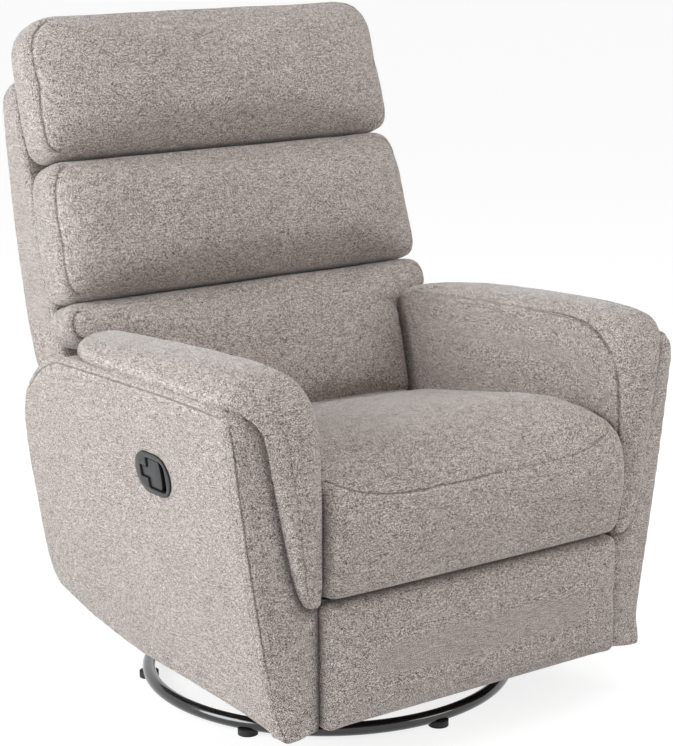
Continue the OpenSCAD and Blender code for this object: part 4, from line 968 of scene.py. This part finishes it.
# Footrest panel
# A padded board hangs upright under the seat's front edge and folds out on the links behind it.
foot_edge = [(-0.2625, 0.088), (-0.2565, 0.0825), (0.2565, 0.0825), (0.2625, 0.088), (0.2635, 0.17), (0.2625, 0.257),
             (0.2565, 0.2635), (-0.2565, 0.2635), (-0.2625, 0.257), (-0.2635, 0.17)]
low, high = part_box("footrest_pad")
foot_proud, foot_rim, foot_crown = 0.008, 0.009, 0.009
foot = slab("footrest_cover", foot_edge, -high.y, -low.y + foot_proud, foot_rim)
even_mesh(foot, 0.005, 4)
spots = points_of(foot)
from_edge = distance_to(evenly(foot_edge), spots[:, :2])
front = np.clip((spots[:, 2] + high.y) / (high.y - low.y - 0.006), 0, 1)
spots[:, 2] += front ** 2 * foot_crown * (1 - np.exp(-from_edge / 0.015))
move_points(foot, spots)
plump(foot, 0.0006 + 0.006 * front * (1 - np.exp(-from_edge / 0.02)), front < 0.3)
place_points(foot, lambda p: p[:, [0, 2, 1]] * (1, -1, 1))
upholster(foot, "footrest", ["footrest_pad"])

# Studio
# A plain white floor and background, a large soft lamp on the chair's right and weaker ones in front and above.
floor_material, floor_tree, floor_shader = new_material("studio_floor")
set_sockets(floor_shader, Base_Color=(0.8, 0.8, 0.8, 1), Roughness=0.9, Specular_IOR_Level=0.0)
rays = add_node(floor_tree, "ShaderNodeLightPath", (-600, 300))
seen = add_node(floor_tree, "ShaderNodeMath", (-400, 300), operation="MAXIMUM")
# The glow and the lit part add up to white in the open, so that the chair's shadow still shows
glow = add_node(floor_tree, "ShaderNodeEmission", (-400, -200), Strength=0.814)
lit = add_node(floor_tree, "ShaderNodeBsdfDiffuse", (-400, -350), Color=(0.32, 0.32, 0.32, 1))
seen_floor = add_node(floor_tree, "ShaderNodeAddShader", (-200, -250))
floor_mix = add_node(floor_tree, "ShaderNodeMixShader", (100, 0))
join(floor_tree, (rays, "Is Camera Ray", seen, 0), (rays, "Is Glossy Ray", seen, 1),
     (glow, "Emission", seen_floor, 0), (lit, "BSDF", seen_floor, 1), (seen, "Value", floor_mix, "Fac"),
     (floor_shader, "BSDF", floor_mix, 1), (seen_floor, "Shader", floor_mix, 2),
     (floor_mix, "Shader", floor_tree.nodes["Material Output"], "Surface"))
clear_selection()
bpy.ops.mesh.primitive_plane_add(size=160, location=(0, 0, 0))
floor = bpy.context.object
floor.name = "studio_floor"
floor.data.materials.append(floor_material)

world = bpy.context.scene.world or bpy.data.worlds.new("studio")
bpy.context.scene.world = world
world.use_nodes = True
world_tree = world.node_tree
ambient = world_tree.nodes["Background"]
set_sockets(ambient, Color=(1, 1, 1, 1), Strength=0.44)
shown = add_node(world_tree, "ShaderNodeBackground", (0, -200), Color=(1, 1, 1, 1), Strength=1.0)
world_rays = add_node(world_tree, "ShaderNodeLightPath", (-400, 300))
world_seen = add_node(world_tree, "ShaderNodeMath", (-200, 300), operation="MAXIMUM")
world_clear = add_node(world_tree, "ShaderNodeMath", (-100, 300), operation="MAXIMUM")
world_mix = add_node(world_tree, "ShaderNodeMixShader", (200, 0))
join(world_tree, (world_rays, "Is Camera Ray", world_seen, 0), (world_rays, "Is Glossy Ray", world_seen, 1),
     (world_seen, "Value", world_clear, 0), (world_rays, "Is Transmission Ray", world_clear, 1),
     (world_clear, "Value", world_mix, "Fac"), (ambient, "Background", world_mix, 1),
     (shown, "Background", world_mix, 2), (world_mix, "Shader", world_tree.nodes["World Output"], "Surface"))


def soft_lamp(name, place, aim, size, power, colour=(1, 1, 1)):
    bpy.ops.object.light_add(type="AREA", location=place)
    lamp = bpy.context.object
    lamp.name = name
    lamp.data.shape = "DISK"
    lamp.data.size = size
    lamp.data.energy = power
    lamp.data.color = colour
    lamp.rotation_euler = (Vector(aim) - Vector(place)).to_track_quat("-Z", "Y").to_euler()


soft_lamp("side_lamp", (-3.2, 0.6, 1.7), (0, 0, 0.5), 2.2, 104, (0.945, 0.975, 1.0))
soft_lamp("front_lamp", (1.9, -3.0, 2.2), (0, 0, 0.5), 2.0, 34)
soft_lamp("top_lamp", (0.6, -1.2, 3.2), (0, 0, 0.5), 2.0, 26)
